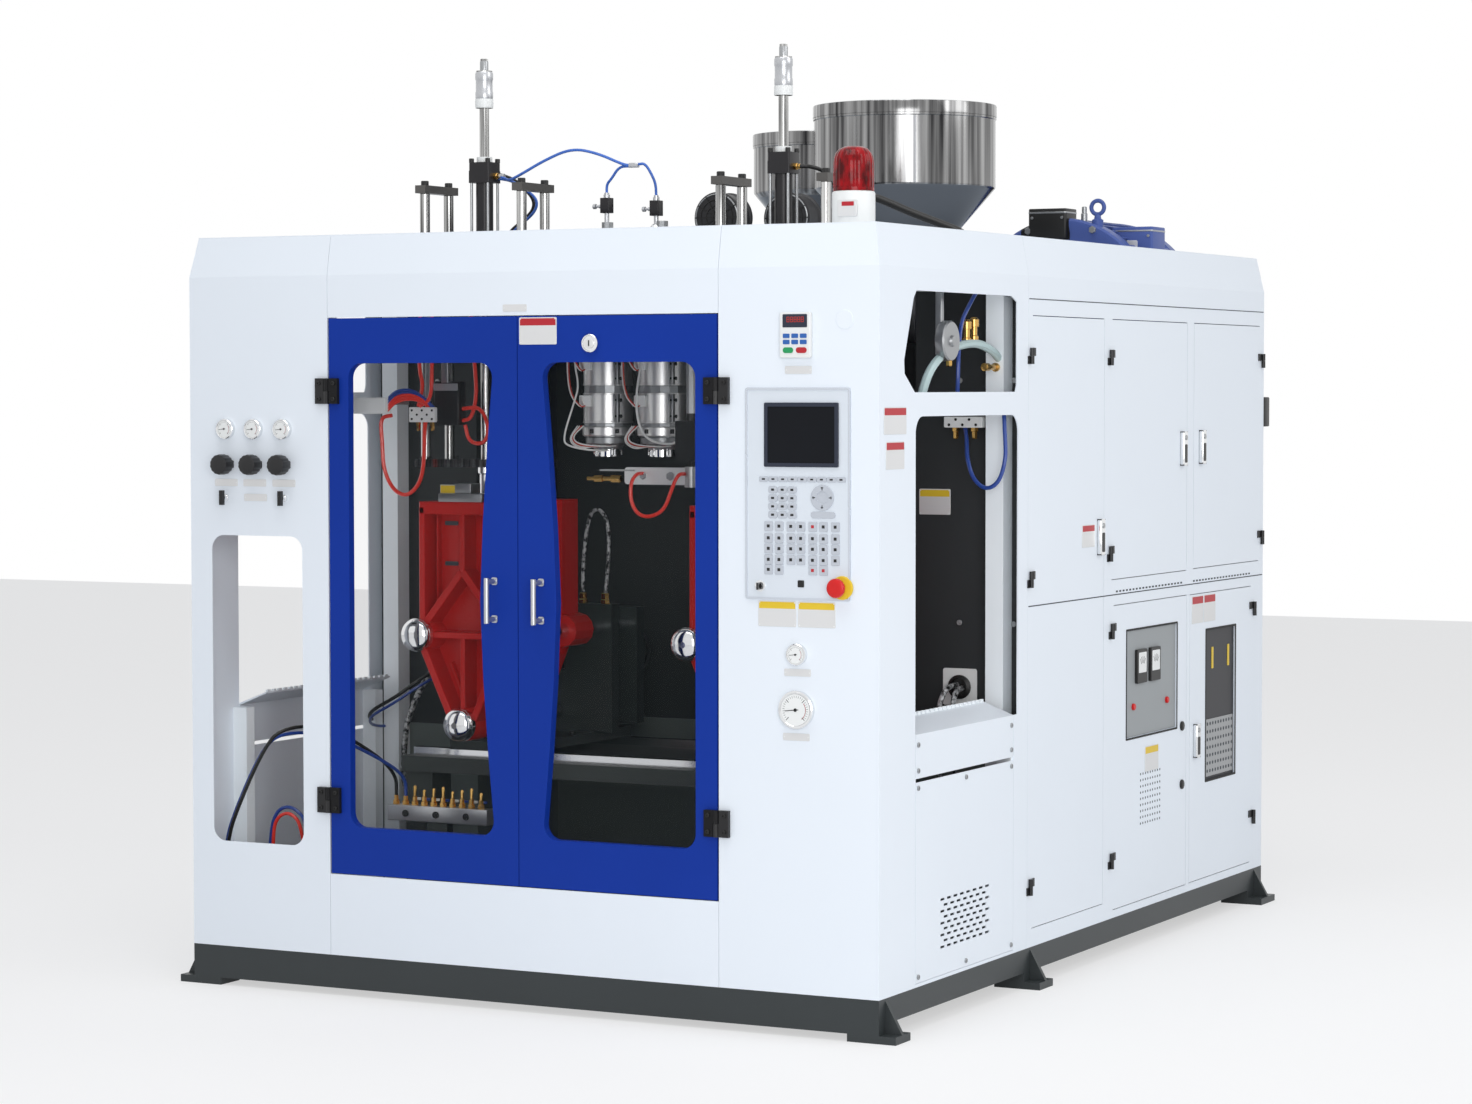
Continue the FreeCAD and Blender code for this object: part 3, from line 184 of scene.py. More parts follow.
def tube(corners, radius, sides, count):
    """Circle carried along a smooth line, its frame turned as little as the line allows."""
    line = curve_through(corners, count)
    tangent = np.gradient(line, axis=0)
    tangent /= np.linalg.norm(tangent, axis=1)[:, None]
    side = np.cross(tangent[0], [0.31, 0.77, 0.55])
    side /= np.linalg.norm(side)
    sides_list = []
    for direction in tangent:
        side = side - direction * side.dot(direction)
        side /= np.linalg.norm(side)
        sides_list.append(side)
    first = np.array(sides_list)
    second = np.cross(tangent, first)
    angle = np.linspace(0, 2 * np.pi, sides, endpoint=False)
    points = (line[:, None] + radius * (np.cos(angle)[None, :, None] * first[:, None]
                                        + np.sin(angle)[None, :, None] * second[:, None]))
    return capped(points.reshape(-1, 3), count, sides)


def ring_form(centre, radius, thick, way, sides, tube_sides):
    """Torus: a small circle carried round a large one."""
    a = np.linspace(0, 2 * np.pi, sides, endpoint=False)[:, None]
    b = np.linspace(0, 2 * np.pi, tube_sides, endpoint=False)[None]
    reach = radius + thick * np.cos(b)
    points = np.stack([reach * np.cos(a), reach * np.sin(a),
                       thick * np.sin(b) + 0 * a], -1).reshape(-1, 3)
    return set_at(points, [grid_faces(sides, tube_sides, True, True)], way, centre)


def copies(form, places):
    """The same form set at each place, as one array of points."""
    points, blocks = form
    places = np.array(places, float)
    moved = (points[None] + places[:, None]).reshape(-1, 3)
    step = (len(points) * np.arange(len(places)))[:, None, None]
    return moved, [(block[None] + step).reshape(-1, block.shape[1]) for block in blocks]


def radial_bars(centre, inner, outer, half_width, face, thick, angles):
    """Flat strokes laid round a dial: each runs from one radius to another at its own angle."""
    angles = np.radians(np.array(angles, float))
    corner_r = np.array([inner, outer, outer, inner])
    corner_s = np.array([-1, -1, 1, 1]) * half_width
    x = corner_r * np.sin(angles)[:, None] + corner_s * np.cos(angles)[:, None]
    z = corner_r * np.cos(angles)[:, None] - corner_s * np.sin(angles)[:, None]
    ring = np.stack([x, np.zeros_like(x), z], -1)
    points = np.concatenate([ring, ring + np.array([0, -thick, 0])], 1).reshape(-1, 3)
    points += np.array([centre[0], face, centre[1]])
    box = np.array([[0, 1, 2, 3], [7, 6, 5, 4], [0, 4, 5, 1], [1, 5, 6, 2], [2, 6, 7, 3],
                    [3, 7, 4, 0]])
    faces = (box[None] + 8 * np.arange(len(angles))[:, None, None]).reshape(-1, 4)
    return outward((points, [faces]))


def turned_at(places, profile, way, sides):
    """The same turned form set at each place."""
    return copies(lathe(profile, ORIGIN, way, sides), places)


def screws(places, way, radius, high):
    """Round heads with a dished socket, one at each place."""
    return turned_at(places, [(radius, 0), (radius, high * 0.85), (radius * 0.9, high),
                              (radius * 0.55, high), (radius * 0.5, high * 0.45)], way, 14)


def fluted(profile, centre, way, lobes, depth, sides=96):
    """Turned form whose radius swells and dips round the axis as a cosine of the angle."""
    points, blocks = lathe(profile, ORIGIN, "z", sides)
    angle = np.arctan2(points[:, 1], points[:, 0])
    scale = 1 + depth * np.cos(lobes * angle)
    return set_at(points * np.stack([scale, scale, np.ones_like(scale)], -1), blocks, way, centre)


def frame_band(low, high, way, wide, radius):
    """Flat band round a rounded rectangle: its outer and inner outlines joined on both faces."""
    box = box_of(low, high)
    deep = 2 * box[2][AXES[way][2]]
    points, rows, columns = outline_rings(box, way, radius, 0.5,
                                          ((0, 0), (0, deep), (wide, deep), (wide, 0)))
    return outward((points, [grid_faces(rows, columns, True, True)]))


def joined(forms):
    """Several forms made one."""
    points, blocks, count = [], [], 0
    for spots, sides in forms:
        points.append(spots)
        blocks += [side + count for side in sides]
        count += len(spots)
    return np.concatenate(points), blocks


def prism(corners, near, far):
    """Convex outline in the front plane carried backwards, both rims eased to its middle."""
    corners = np.array(corners, float)
    middle = corners.mean(axis=0)
    reach = np.linalg.norm(corners - middle, axis=1)[:, None]
    inner = middle + (corners - middle) * (1 - 1 / reach)
    rings = [np.insert(flat, 1, along, axis=1) for flat, along in
             ((inner, near), (corners, near + 1), (corners, far - 1), (inner, far))]
    return capped(np.concatenate(rings), 4, len(corners))


def rib(start, end, half, near, far, edge=2.0):
    """Straight rib between two points of the front plane: a strip whose crest is narrowed."""
    start, end = np.array(start, float), np.array(end, float)
    along = (end - start) / np.linalg.norm(end - start)
    across = np.array([-along[1], along[0]])
    rings = []
    for inset, depth in ((edge, near), (0, near + edge), (0, far)):
        a, b, w = start + along * inset, end - along * inset, across * (half - inset)
        rings.append(np.insert(np.array([a + w, a - w, b - w, b + w]), 1, depth, axis=1))
    return capped(np.concatenate(rings), 3, 4)


def sleeve(inner, outer, low, high, centre, way, sides, edge=0.6):
    """Hollow ring: the closed outline of its wall turned once round the axis."""
    wall = [(inner, low), (outer - edge, low), (outer, low + edge), (outer, high - edge),
            (outer - edge, high), (inner, high)]
    return set_at(spun(wall, sides), [grid_faces(len(wall), sides, True, True)], way, centre)


def slabs(coat_name, way, radius, edge, corners):
    """Parts: a slab of one finish for each pair of corners."""
    return [(slab(low, high, way, radius, edge), coat_name) for low, high in corners]


def plate_parts(x, z, face=0.0, band=None):
    """Bare riveted plate on a front sheet, with a coloured band along its top where asked."""
    front = face - PLATE_THICK
    high = z[1] - z[0]
    parts = [(slab((x[0], face, z[0]), (x[1], front, z[1]), "y", 3.0, 0.4), "plate_plain")]
    if band:
        low, top = z[1] - BAND_INSET - high * BAND_SHARE, z[1] - BAND_INSET
        parts.append((slab((x[0] + BAND_INSET, front, low),
                           (x[1] - BAND_INSET, front - 0.25, top), "y", 1.0, 0.1), band))
    ups = (z[0] + 4, z[1] - 4) if high > 30 else ((z[0] + z[1]) / 2,)
    rivets = [(px, front, pz) for px in (x[0] + 4, x[1] - 4) for pz in ups]
    return parts + [(turned_at(rivets, [(1.6, 0), (1.3, -0.6), (0.5, -0.9)], "y", 10),
                     "white_cap")]


def side_plate_parts(y, z, band):
    """Bare plate with a coloured band on a right-hand sheet."""
    face = SIDE_FACE + 0.1
    front = face + PLATE_THICK
    low, top = z[1] - BAND_INSET - (z[1] - z[0]) * BAND_SHARE, z[1] - BAND_INSET
    return [(slab((face, y[0], z[0]), (front, y[1], z[1]), "x", 3.0, 0.4), "plate_plain"),
            (slab((front, y[0] + BAND_INSET, low), (front + 0.25, y[1] - BAND_INSET, top), "x",
                  1.0, 0.1), band)]


def dial_parts(across, up, radius):
    """Pressure dial: chrome bezel, white face, scale strokes, a red zone and a needle."""
    k = radius / 24.0
    face = -12.4
    ticks = np.linspace(-135, 135, 28)
    bezel = [(24.6 * k, -0.2), (25.2 * k, -9), (24.8 * k, -12), (23.2 * k, -13.6),
             (21.4 * k, -13.2), (20.8 * k, -12.2)]
    parts = [(lathe(bezel, (across, 0, up), "y", 48), "chrome"),
             (lathe([(20.6 * k, face), (20.6 * k, face - 0.25)], (across, 0, up), "y", 48),
              "dial_white")]
    for inner, outer, half, lift, thick, angles, coat_name in (
            (15.8, 18.6, 0.22, 0.25, 0.08, ticks, "tube_black"),
            (13.6, 18.9, 0.42, 0.25, 0.1, ticks[::9], "tube_black"),
            (14.4, 15.2, 1.7, 0.25, 0.06, np.linspace(60, 135, 9), "band_red"),
            (-4.5, 15.5, 0.5, 0.6, 0.3, [-96], "tube_black")):
        parts.append((radial_bars((across, up), inner * k, outer * k, half * k, face - lift,
                                  thick, angles), coat_name))
    return parts + [(lathe([(2.3 * k, face - 0.3), (2.3 * k, face - 1.3), (1.2 * k, face - 1.6)],
                           (across, 0, up), "y", 20), "tube_black")]


# ------------------------------------------------------------------ finishes
def group_tree(name, inputs, outputs):
    """Empty node group with its sockets, and its input and output nodes."""
    tree = bpy.data.node_groups.new(name, "ShaderNodeTree")
    for label, kind, value in inputs:
        socket = tree.interface.new_socket(label, in_out="INPUT", socket_type=kind)
        socket.default_value = value
    for label, kind in outputs:
        tree.interface.new_socket(label, in_out="OUTPUT", socket_type=kind)
    return tree, tree.nodes.new("NodeGroupInput"), tree.nodes.new("NodeGroupOutput")


def feed(tree, socket, value):
    """Links an output to an input socket, or sets the socket to a plain value."""
    if hasattr(value, "is_output"):
        tree.links.new(value, socket)
    else:
        socket.default_value = value


def math_node(tree, kind, first, second, vector=False):
    """Output of one sum of two numbers or two vectors."""
    item = tree.nodes.new("ShaderNodeVectorMath" if vector else "ShaderNodeMath")
    item.operation = kind
    feed(tree, item.inputs[0], first)
    feed(tree, item.inputs[1], second)
    return item.outputs[0]


def zone_group():
    """Mask that is 1 inside a box of Object coordinates and 0 outside it."""
    tree, start, end = group_tree("zone_of_piece", [
        ("Low", "NodeSocketVector", ORIGIN), ("High", "NodeSocketVector", ORIGIN)],
        [("Mask", "NodeSocketFloat")])
    place = tree.nodes.new("ShaderNodeTexCoord").outputs["Object"]
    above = math_node(tree, "SUBTRACT", place, start.outputs["Low"], True)
    below = math_node(tree, "SUBTRACT", start.outputs["High"], place, True)
    split = tree.nodes.new("ShaderNodeSeparateXYZ")
    feed(tree, split.inputs[0], math_node(tree, "MINIMUM", above, below, True))
    low = math_node(tree, "MINIMUM", split.outputs[0], split.outputs[1])
    low = math_node(tree, "MINIMUM", low, split.outputs[2])
    feed(tree, end.inputs["Mask"], math_node(tree, "GREATER_THAN", low, 0.0))
    return tree


def grain_group():
    """Fine noise for a coat's skin, and broad noise for its handling marks and for the painted
    reflection streaks of the guide bars and hoppers.
    """
    tree, start, end = group_tree("coat_grain", [
        ("Fine", "NodeSocketFloat", 900.0), ("Broad", "NodeSocketFloat", 3.0),
        ("Stretch", "NodeSocketVector", (1, 1, 1))],
        [("Height", "NodeSocketFloat"), ("Cloud", "NodeSocketFloat")])
    place = tree.nodes.new("ShaderNodeTexCoord").outputs["Object"]
    drawn = math_node(tree, "MULTIPLY", place, start.outputs["Stretch"], True)
    for socket, out, detail in (("Fine", "Height", 2.0), ("Broad", "Cloud", 4.0)):
        noise = tree.nodes.new("ShaderNodeTexNoise")
        noise.inputs["Detail"].default_value = detail
        feed(tree, noise.inputs["Vector"], drawn)
        feed(tree, noise.inputs["Scale"], start.outputs[socket])
        feed(tree, end.inputs[out], noise.outputs["Fac"])
    return tree


GROUP_MAKERS = {"zone": zone_group, "grain": grain_group}
GROUPS = {}


def placed(tree, name, **inputs):
    """A node of one of the two groups, which is made at its first use."""
    if name not in GROUPS:
        GROUPS[name] = GROUP_MAKERS[name]()
    item = tree.nodes.new("ShaderNodeGroup")
    item.node_tree = GROUPS[name]
    for label, value in inputs.items():
        item.inputs[label].default_value = value
    return item


def metres(spot):
    """Shop place as a place of the frame, in metres."""
    return (spot[0] / 1000, (spot[1] + FRONT) / 1000, spot[2] / 1000)


def mix_by(tree, mask, first, second, colour=True):
    """Blend of two colours or two numbers by a mask."""
    item = tree.nodes.new("ShaderNodeMix")
    item.data_type = "RGBA" if colour else "FLOAT"
    *places, out = (0, 6, 7, 2) if colour else (0, 2, 3, 0)
    for place, value in zip(places, (mask, first, second)):
        feed(tree, item.inputs[place], (*value, 1.0) if isinstance(value, tuple) else value)
    return item.outputs[out]


def new_material(name):
    """Material with its node tree and its shader node."""
    material = bpy.data.materials.new(name)
    material.use_nodes = True
    return material, material.node_tree, material.node_tree.nodes["Principled BSDF"]


# Half the span of roughness that the broad noise gives a coat.
ROUGH_CHANGE = 0.05


def coat(name, colour, rough, metal=0.0, fine=900.0, broad=3.0, stretch=(1, 1, 1), bump=0.05,
         depth=0.0003, change=0.05, zones=(), clear=0.0, spread=None, gloss=0.35, punch=None):
    """Surface with grain and slow changes of tone, which spread and punch can sharpen into streaks
    (painted reflections on the guide bars and hoppers); zones give boxes of it another finish.
    """
    material, tree, shader = new_material(name)
    grain = placed(tree, "grain", Fine=fine, Broad=broad, Stretch=stretch)
    dark, light = spread or (tuple(c * (1 - change) for c in colour),
                             tuple(min(c * (1 + change), 1.0) for c in colour))
    cloud = grain.outputs["Cloud"]
    # Punch sharpens the broad noise into hard streaks; on the guide bars and hoppers these are
    # painted reflections.
    if punch:
        cloud = math_node(tree, "ADD", math_node(tree, "MULTIPLY", cloud, punch),
                          0.5 - 0.5 * punch)
        cloud.node.use_clamp = True
    tone = mix_by(tree, cloud, dark, light)
    dull = mix_by(tree, grain.outputs["Cloud"], max(rough - ROUGH_CHANGE, 0.02),
                  min(rough + ROUGH_CHANGE, 1.0), False)
    shine = metal
    for low, high, other, other_rough, other_metal in zones:
        mask = placed(tree, "zone", Low=metres(low), High=metres(high)).outputs["Mask"]
        tone = mix_by(tree, mask, tone, other)
        dull = mix_by(tree, mask, dull, other_rough, False)
        shine = mix_by(tree, mask, shine, other_metal, False)
    bumps = tree.nodes.new("ShaderNodeBump")
    bumps.inputs["Strength"].default_value = bump
    bumps.inputs["Distance"].default_value = depth
    feed(tree, bumps.inputs["Height"], grain.outputs["Height"])
    for label, value in (("Base Color", tone), ("Roughness", dull), ("Metallic", shine),
                         ("Coat Weight", clear), ("Specular IOR Level", gloss),
                         ("Normal", bumps.outputs[0])):
        feed(tree, shader.inputs[label], value)
    return material


# Far enough to reach past the machine on every side.
WIDE = 3000
BLACK = (0.012, 0.012, 0.013)
CHROME = (0.72, 0.73, 0.75)
# All that stands proud of the front sheet.
AHEAD = ((-WIDE, -WIDE, -WIDE), (WIDE, -0.3, WIDE))
RIM_STEEL = ((0.42, 0.43, 0.44), 0.3, 1.0)
# Finishes as colour or the name of a paint setting, roughness, and what differs from a plain
# coat. A zone is two corners of a box with the colour, roughness and metal inside it.
RECIPES = {
    "powder": ("panel", 0.42, dict(bump=0.08, change=0.015, zones=[
        ((942.7, 855, 110), (975, 2614, 1754), BLACK, 0.4, 0.0),
        ((930, 2141, 391), (938.5, 2384, 811), (0.03, 0.03, 0.035), 0.5, 0.0)])),
    "door_blue": ("door", 0.45, dict(bump=0.18, change=0.10, gloss=0.12, zones=[
        (*AHEAD, BLACK, 0.4, 0.0),
        ((-110, -WIDE, 800), (110, -0.3, 1100), CHROME, 0.12, 1.0),
        ((170, -WIDE, 1550), (230, -0.3, 1620), CHROME, 0.2, 1.0)])),
    "base_dark": ((0.032, 0.038, 0.040), 0.42, dict(bump=0.03, change=0.12, zones=[
        ((-WIDE, 90, 99.5), (WIDE, WIDE, WIDE), (0.045, 0.052, 0.050), 0.5, 0.0)])),
    "bright_bar": (CHROME, 0.14, dict(metal=1.0, fine=400, stretch=(1, 0.05, 1), change=0.06)),
    # Painted reflection: the guide bars' hard vertical light and dark streaks stand in for
    # surroundings mirrored in the chrome.
    "guide_bar": ((0.5, 0.5, 0.5), 0.2, dict(
        metal=1.0, fine=500, broad=120.0, stretch=(1, 1, 0.02), punch=3.0, bump=0.02,
        spread=((0.10, 0.10, 0.10), (0.66, 0.66, 0.65)),
        zones=[((-WIDE, 460, 1976), (WIDE, 650, 1999.5), (0.11, 0.105, 0.10), 0.38, 0.6)])),
    "inner_white": ((0.90, 0.95, 0.99), 0.45, dict(bump=0.1, change=0.03)),
    "dark_wall": ((0.033, 0.036, 0.038), 0.45, dict(bump=0.03, change=0.12, gloss=0.2, zones=[
        # Painted light: below the table the rear partition is painted lighter, standing in for the
        # front light that the table shades off.
        ((-WIDE, 600, 99), (WIDE, WIDE, 585), (0.15, 0.175, 0.165), 0.5, 0.0),
        ((700, 866, 0), (WIDE, WIDE, WIDE), (0.5, 0.5, 0.5), 0.5, 0.0)])),
    "black_coat": (BLACK, 0.35, dict(bump=0.1, change=0.2, zones=[
        ((935, 860, 99), (WIDE, WIDE, WIDE), (0.80, 0.85, 0.90), 0.4, 0.0)])),
    "silver_face": ((0.70, 0.75, 0.81), 0.33, dict(
        metal=0.15, fine=600, stretch=(0.05, 1, 1), change=0.03, zones=[
            ((658, -WIDE, 1304), (841, -3.2, 1446), (0.035, 0.04, 0.055), 0.25, 0.0),
            ((812, -WIDE, 998), (868, -3.2, 1062), (0.85, 0.62, 0.03), 0.35, 0.0)])),
    "key_caps": ((0.50, 0.53, 0.58), 0.45, {}),
    "pad_white": ((0.80, 0.80, 0.78), 0.35, dict(change=0.02, zones=[
        ((708, -WIDE, 1620), (766, -12.2, 1647), BLACK, 0.15, 0.0)])),
    "signal_red": ((0.60, 0.012, 0.012), 0.3, dict(change=0.06)),
    "gauge_black": ((0.02, 0.02, 0.022), 0.4, dict(change=0.2)),
    "cast_red": ("clamp", 0.3, dict(bump=0.5, depth=0.001, fine=160, change=0.14, clear=0.08,
                                    gloss=0.2)),
    "machined": ((0.36, 0.37, 0.38), 0.34, dict(metal=0.85, fine=500, stretch=(1, 1, 0.08),
                                                change=0.12)),
    "die_steel": ((0.30, 0.31, 0.32), 0.36, dict(metal=0.8, fine=300, change=0.2, zones=[
        ((200, 380, 1290), (290, 470, 1420), BLACK, 0.4, 0.0)])),
    "case_black": ((0.017, 0.016, 0.018), 0.32, dict(change=0.2, gloss=0.3)),
    "bay_dark": ((0.030, 0.037, 0.036), 0.4, dict(change=0.15, gloss=0.25)),
    "alloy": ((0.50, 0.51, 0.53), 0.3, dict(metal=0.8, change=0.08)),
    "hose_blue": ((0.06, 0.16, 0.56), 0.4, dict(fine=250, bump=0.8, depth=0.001, change=0.3)),
    # Painted reflection: the hoppers' hard vertical light and dark streaks stand in for
    # surroundings mirrored in the polished sheet.
    "mirror_sheet": ((0.6, 0.6, 0.6), 0.16, dict(
        metal=1.0, fine=40, broad=48.0, stretch=(1, 1, 0.02), punch=3.0,
        spread=((0.025, 0.025, 0.027), (0.40, 0.40, 0.40)), zones=[
            ((-WIDE, -WIDE, 1800), (WIDE, WIDE, 2021.5), (0.14, 0.15, 0.165), 0.16, 1.0),
            ((-WIDE, -WIDE, 2243.5), (WIDE, WIDE, WIDE), *RIM_STEEL),
            ((-WIDE, -WIDE, 2199.5), (24, WIDE, 2212), *RIM_STEEL),
            ((-WIDE, 1846, 2199.5), (70, WIDE, 2212), *RIM_STEEL)])),
    "motor_blue": ((0.07, 0.11, 0.33), 0.4, dict(bump=0.3, change=0.1, gloss=0.2, zones=[
        ((400, 2080, 1898), (545, 2190, WIDE), BLACK, 0.4, 0.0)])),
    "lens_red": ((0.20, 0.002, 0.004), 0.12, dict(
        gloss=0.2, broad=60.0, stretch=(1, 1, 0.5), punch=3.0,
        spread=((0.07, 0.001, 0.002), (0.36, 0.004, 0.008)))),
    "brass": ((0.62, 0.38, 0.12), 0.25, dict(metal=1.0, change=0.1)),
    "plate_plain": ((0.72, 0.72, 0.72), 0.35, dict(metal=0.4, change=0.04)),
    "band_red": ((0.45, 0.02, 0.03), 0.4, {}),
    "band_yellow": ((0.75, 0.52, 0.03), 0.4, {}),
    "dial_white": ((0.82, 0.83, 0.82), 0.5, dict(change=0.02)),
    "screen_glass": ((0.008, 0.009, 0.012), 0.12, dict(change=0.2, gloss=0.1)),
    "panel_grey": ((0.31, 0.33, 0.34), 0.42, dict(fine=260, bump=0.3, change=0.08)),
    "hose_pale": ((0.52, 0.66, 0.66), 0.35, dict(fine=300, bump=0.8, depth=0.001, change=0.2)),
    "tube_red": ((0.82, 0.045, 0.03), 0.3, dict(change=0.1, clear=0.3)),
    "tube_black": ((0.012, 0.012, 0.012), 0.4, dict(change=0.2)),
    "tube_blue": ((0.02, 0.06, 0.30), 0.3, dict(change=0.1, clear=0.3)),
    "tube_white": ((0.75, 0.75, 0.73), 0.4, dict(change=0.1)),
    "braid": ((0.3, 0.3, 0.3), 0.4, dict(
        metal=0.3, fine=700, bump=0.6, broad=110.0, punch=5.0,
        spread=((0.012, 0.013, 0.014), (0.55, 0.56, 0.57)))),
    "rubber_foot": ((0.02, 0.02, 0.02), 0.7, dict(change=0.2)),
    "key_blue": ((0.03, 0.12, 0.40), 0.4, {}),
    "key_green": ((0.02, 0.30, 0.10), 0.4, {}),
    "digit_red": ((0.55, 0.03, 0.01), 0.4, {}),
    "white_cap": ((0.80, 0.81, 0.80), 0.35, dict(change=0.03)),
    "groove": ((0.06, 0.07, 0.08), 0.7, dict(change=0.1)),
    "chrome": ((0.78, 0.79, 0.80), 0.10, dict(metal=1.0)),
    "knob_black": ((0.016, 0.016, 0.017), 0.38, dict(bump=0.3, change=0.15)),
    "silver_rim": ((0.60, 0.64, 0.70), 0.28, dict(metal=0.4, change=0.04)),
    "bezel_dark": ((0.020, 0.026, 0.045), 0.3, dict(change=0.1)),
    "band_steel": ((0.66, 0.66, 0.66), 0.30, dict(metal=0.85, fine=300, stretch=(1, 1, 0.1),
                                                  bump=0.02)),
    "wire_red": ((0.50, 0.05, 0.03), 0.5, dict(change=0.1)),
}
COATS = {}


def finish(name):
    """Material of that name, made at its first use."""
    if name not in COATS:
        if name == "clear_sheet":
            COATS[name] = clear_sheet()
        else:
            colour, rough, more = RECIPES[name]
            if isinstance(colour, str):
                colour = tuple(getattr(bpy.context.scene.machine_colours, colour))
            COATS[name] = coat(name, colour, rough, **more)
    return COATS[name]


def clear_sheet():
    """Clear plastic pane: a thin plain sheet that passes the light straight on."""
    material, tree, shader = new_material("clear_sheet")
    grain = placed(tree, "grain", Fine=30.0)
    for label, value in (
            ("Base Color", mix_by(tree, grain.outputs["Cloud"], (0.06, 0.08, 0.09),
                                  (0.10, 0.12, 0.12))),
            ("Roughness", 0.04), ("Specular IOR Level", 0.12), ("Alpha", 0.04)):
        feed(tree, shader.inputs[label], value)
    material.surface_render_method = "BLENDED"
    return material


def add_object(name, data):
    """New object of the scene."""
    item = bpy.data.objects.new(name, data)
    bpy.context.scene.collection.objects.link(item)
    return item


def piece(name, parts, body, stands_for=()):
    """One object from forms and their finishes; it rides on a body of the frame."""
    mesh = bpy.data.meshes.new(name)
    used = list(dict.fromkeys(coat_name for form, coat_name in parts))
    faces, marks, count = [], [], 0
    for (spots, blocks), coat_name in parts:
        for block in blocks:
            faces += (block + count).tolist()
            marks += [used.index(coat_name)] * len(block)
        count += len(spots)
    points = np.concatenate([form[0] for form, coat_name in parts])
    mesh.from_pydata(((points + np.array([0, FRONT, 0])) / 1000).tolist(), [], faces)
    mesh.polygons.foreach_set("material_index", marks)
    for coat_name in used:
        mesh.materials.append(finish(coat_name))
    mesh.shade_smooth()
    mesh.set_sharp_from_angle(angle=math.radians(SHARP_FROM))
    mesh.update()
    item = add_object(name, mesh)
    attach(item, body)
    if stands_for:
        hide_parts(*stands_for)


# ------------------------------------------------------------------ settings
class MachineColours(bpy.types.PropertyGroup):
    """Paints that a user is most likely to change."""
    panel: bpy.props.FloatVectorProperty(
        name="Sheet coat", description="Powder coat of the outer sheets", subtype="COLOR",
        size=3, min=0.0, max=1.0, default=(0.80, 0.85, 0.91))
    door: bpy.props.FloatVectorProperty(
        name="Door coat", description="Powder coat of the two front doors", subtype="COLOR",
        size=3, min=0.0, max=1.0, default=(0.006, 0.035, 0.30))
    clamp: bpy.props.FloatVectorProperty(
        name="Clamp enamel", description="Enamel on the cast platens", subtype="COLOR",
        size=3, min=0.0, max=1.0, default=(0.55, 0.016, 0.014))


class StageSizes(bpy.types.PropertyGroup):
    """Sizes of the stage and its lamps."""
    floor_half: bpy.props.FloatProperty(
        name="Floor half width", description="Half the width of the pale floor", unit="LENGTH",
        default=14.0, min=4.0)
    lamp_power: bpy.props.FloatProperty(
        name="Lamp power", description="Power of the large lamp over the front, in watts",
        default=135.0, min=0.0)


FINISH_OF = {
    "powder": ("left_front_panel", "right_front_panel", "header_panel", "lower_front_panel",
               "outlet_sills", "vent_panels", "rear_cabinet", "roof_deck", "cabinet_door_a",
               "cabinet_door_b", "cabinet_door_c", "cabinet_door_d", "cabinet_door_e"),
    "base_dark": ("base_frame",),
    "bright_bar": ("carriage_rails", "left_tie_bars", "right_tie_bars"),
    "guide_bar": ("left_blow_unit", "right_blow_unit"),
    "inner_white": ("inner_frame",),
    "dark_wall": ("rear_partition",),
    "door_blue": ("left_door", "right_door"),
    "black_coat": ("hinge_leaves", "air_cock_1", "air_cock_2", "key_switch"),
    "silver_face": ("control_face",),
    "key_caps": ("panel_keys",),
    "pad_white": ("drive_keypad", "beacon_base"),
    "signal_red": ("estop_button",),
    "gauge_black": ("gauges",),
    "cast_red": ("left_moving_platen", "right_moving_platen"),
    "machined": ("extruder_barrels", "cutter_arm"),
    "bay_dark": ("left_carriage", "right_carriage", "left_clamp_cylinder",
                 "right_clamp_cylinder"),
    "die_steel": ("die_heads",),
    "hose_blue": ("air_hoses",),
    "mirror_sheet": ("hoppers", "hopper_lids"),
    "motor_blue": ("drive_motor",),
    "lens_red": ("beacon_dome",),
    "clear_sheet": ("left_pane", "right_pane"),
}


class MOULDER_OT_coats(bpy.types.Operator):
    """Gives every solid of the frame its own finish"""
    bl_idname = "moulder.coats"
    bl_label = "Finish the frame"

    def execute(self, context):
        for coat_name, names in FINISH_OF.items():
            for name in names:
                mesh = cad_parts[name].data
                mesh.materials.clear()
                mesh.materials.append(finish(coat_name))
        return {"FINISHED"}


# Lamps as name, place, aim, size and share of the set power.
LAMPS = (("lamp_front", (3.6, -6.0, 1.9), (-0.2, -0.9, 1.0), 3.2, 1.0),
         ("lamp_right", (6.5, 0.4, 4.6), (0.5, 0.3, 1.0), 4.0, 0.8),
         ("lamp_top", (0.6, -2.6, 6.4), (0.2, 0.0, 1.5), 4.0, 0.95))
# Metres from the middle of the front sheet, degrees, and the lens for a 36 mm wide sensor.
CAMERA_SPOT = (4.3674, -7.3346, 1.473)
CAMERA_TURN = (87.454, 0.046, 27.306)
CAMERA_LENS = 88.22
# Share of the floor's own light where it is seen or mirrored.
FLOOR_GLOW = 0.55


def glow(tree, kind, colour, strength):
    """Plain light of one colour, as a shader output."""
    item = tree.nodes.new(kind)
    item.inputs["Color"].default_value = (*colour, 1)
    item.inputs["Strength"].default_value = strength
    return item.outputs[0]


def blend(tree, share, first, second, ending):
    """Mixes two shaders by a share and sends the result to the tree's output node."""
    item = tree.nodes.new("ShaderNodeMixShader")
    for socket, value in zip(item.inputs, (share, first, second)):
        feed(tree, socket, value)
    feed(tree, tree.nodes[ending].inputs[0], item.outputs[0])


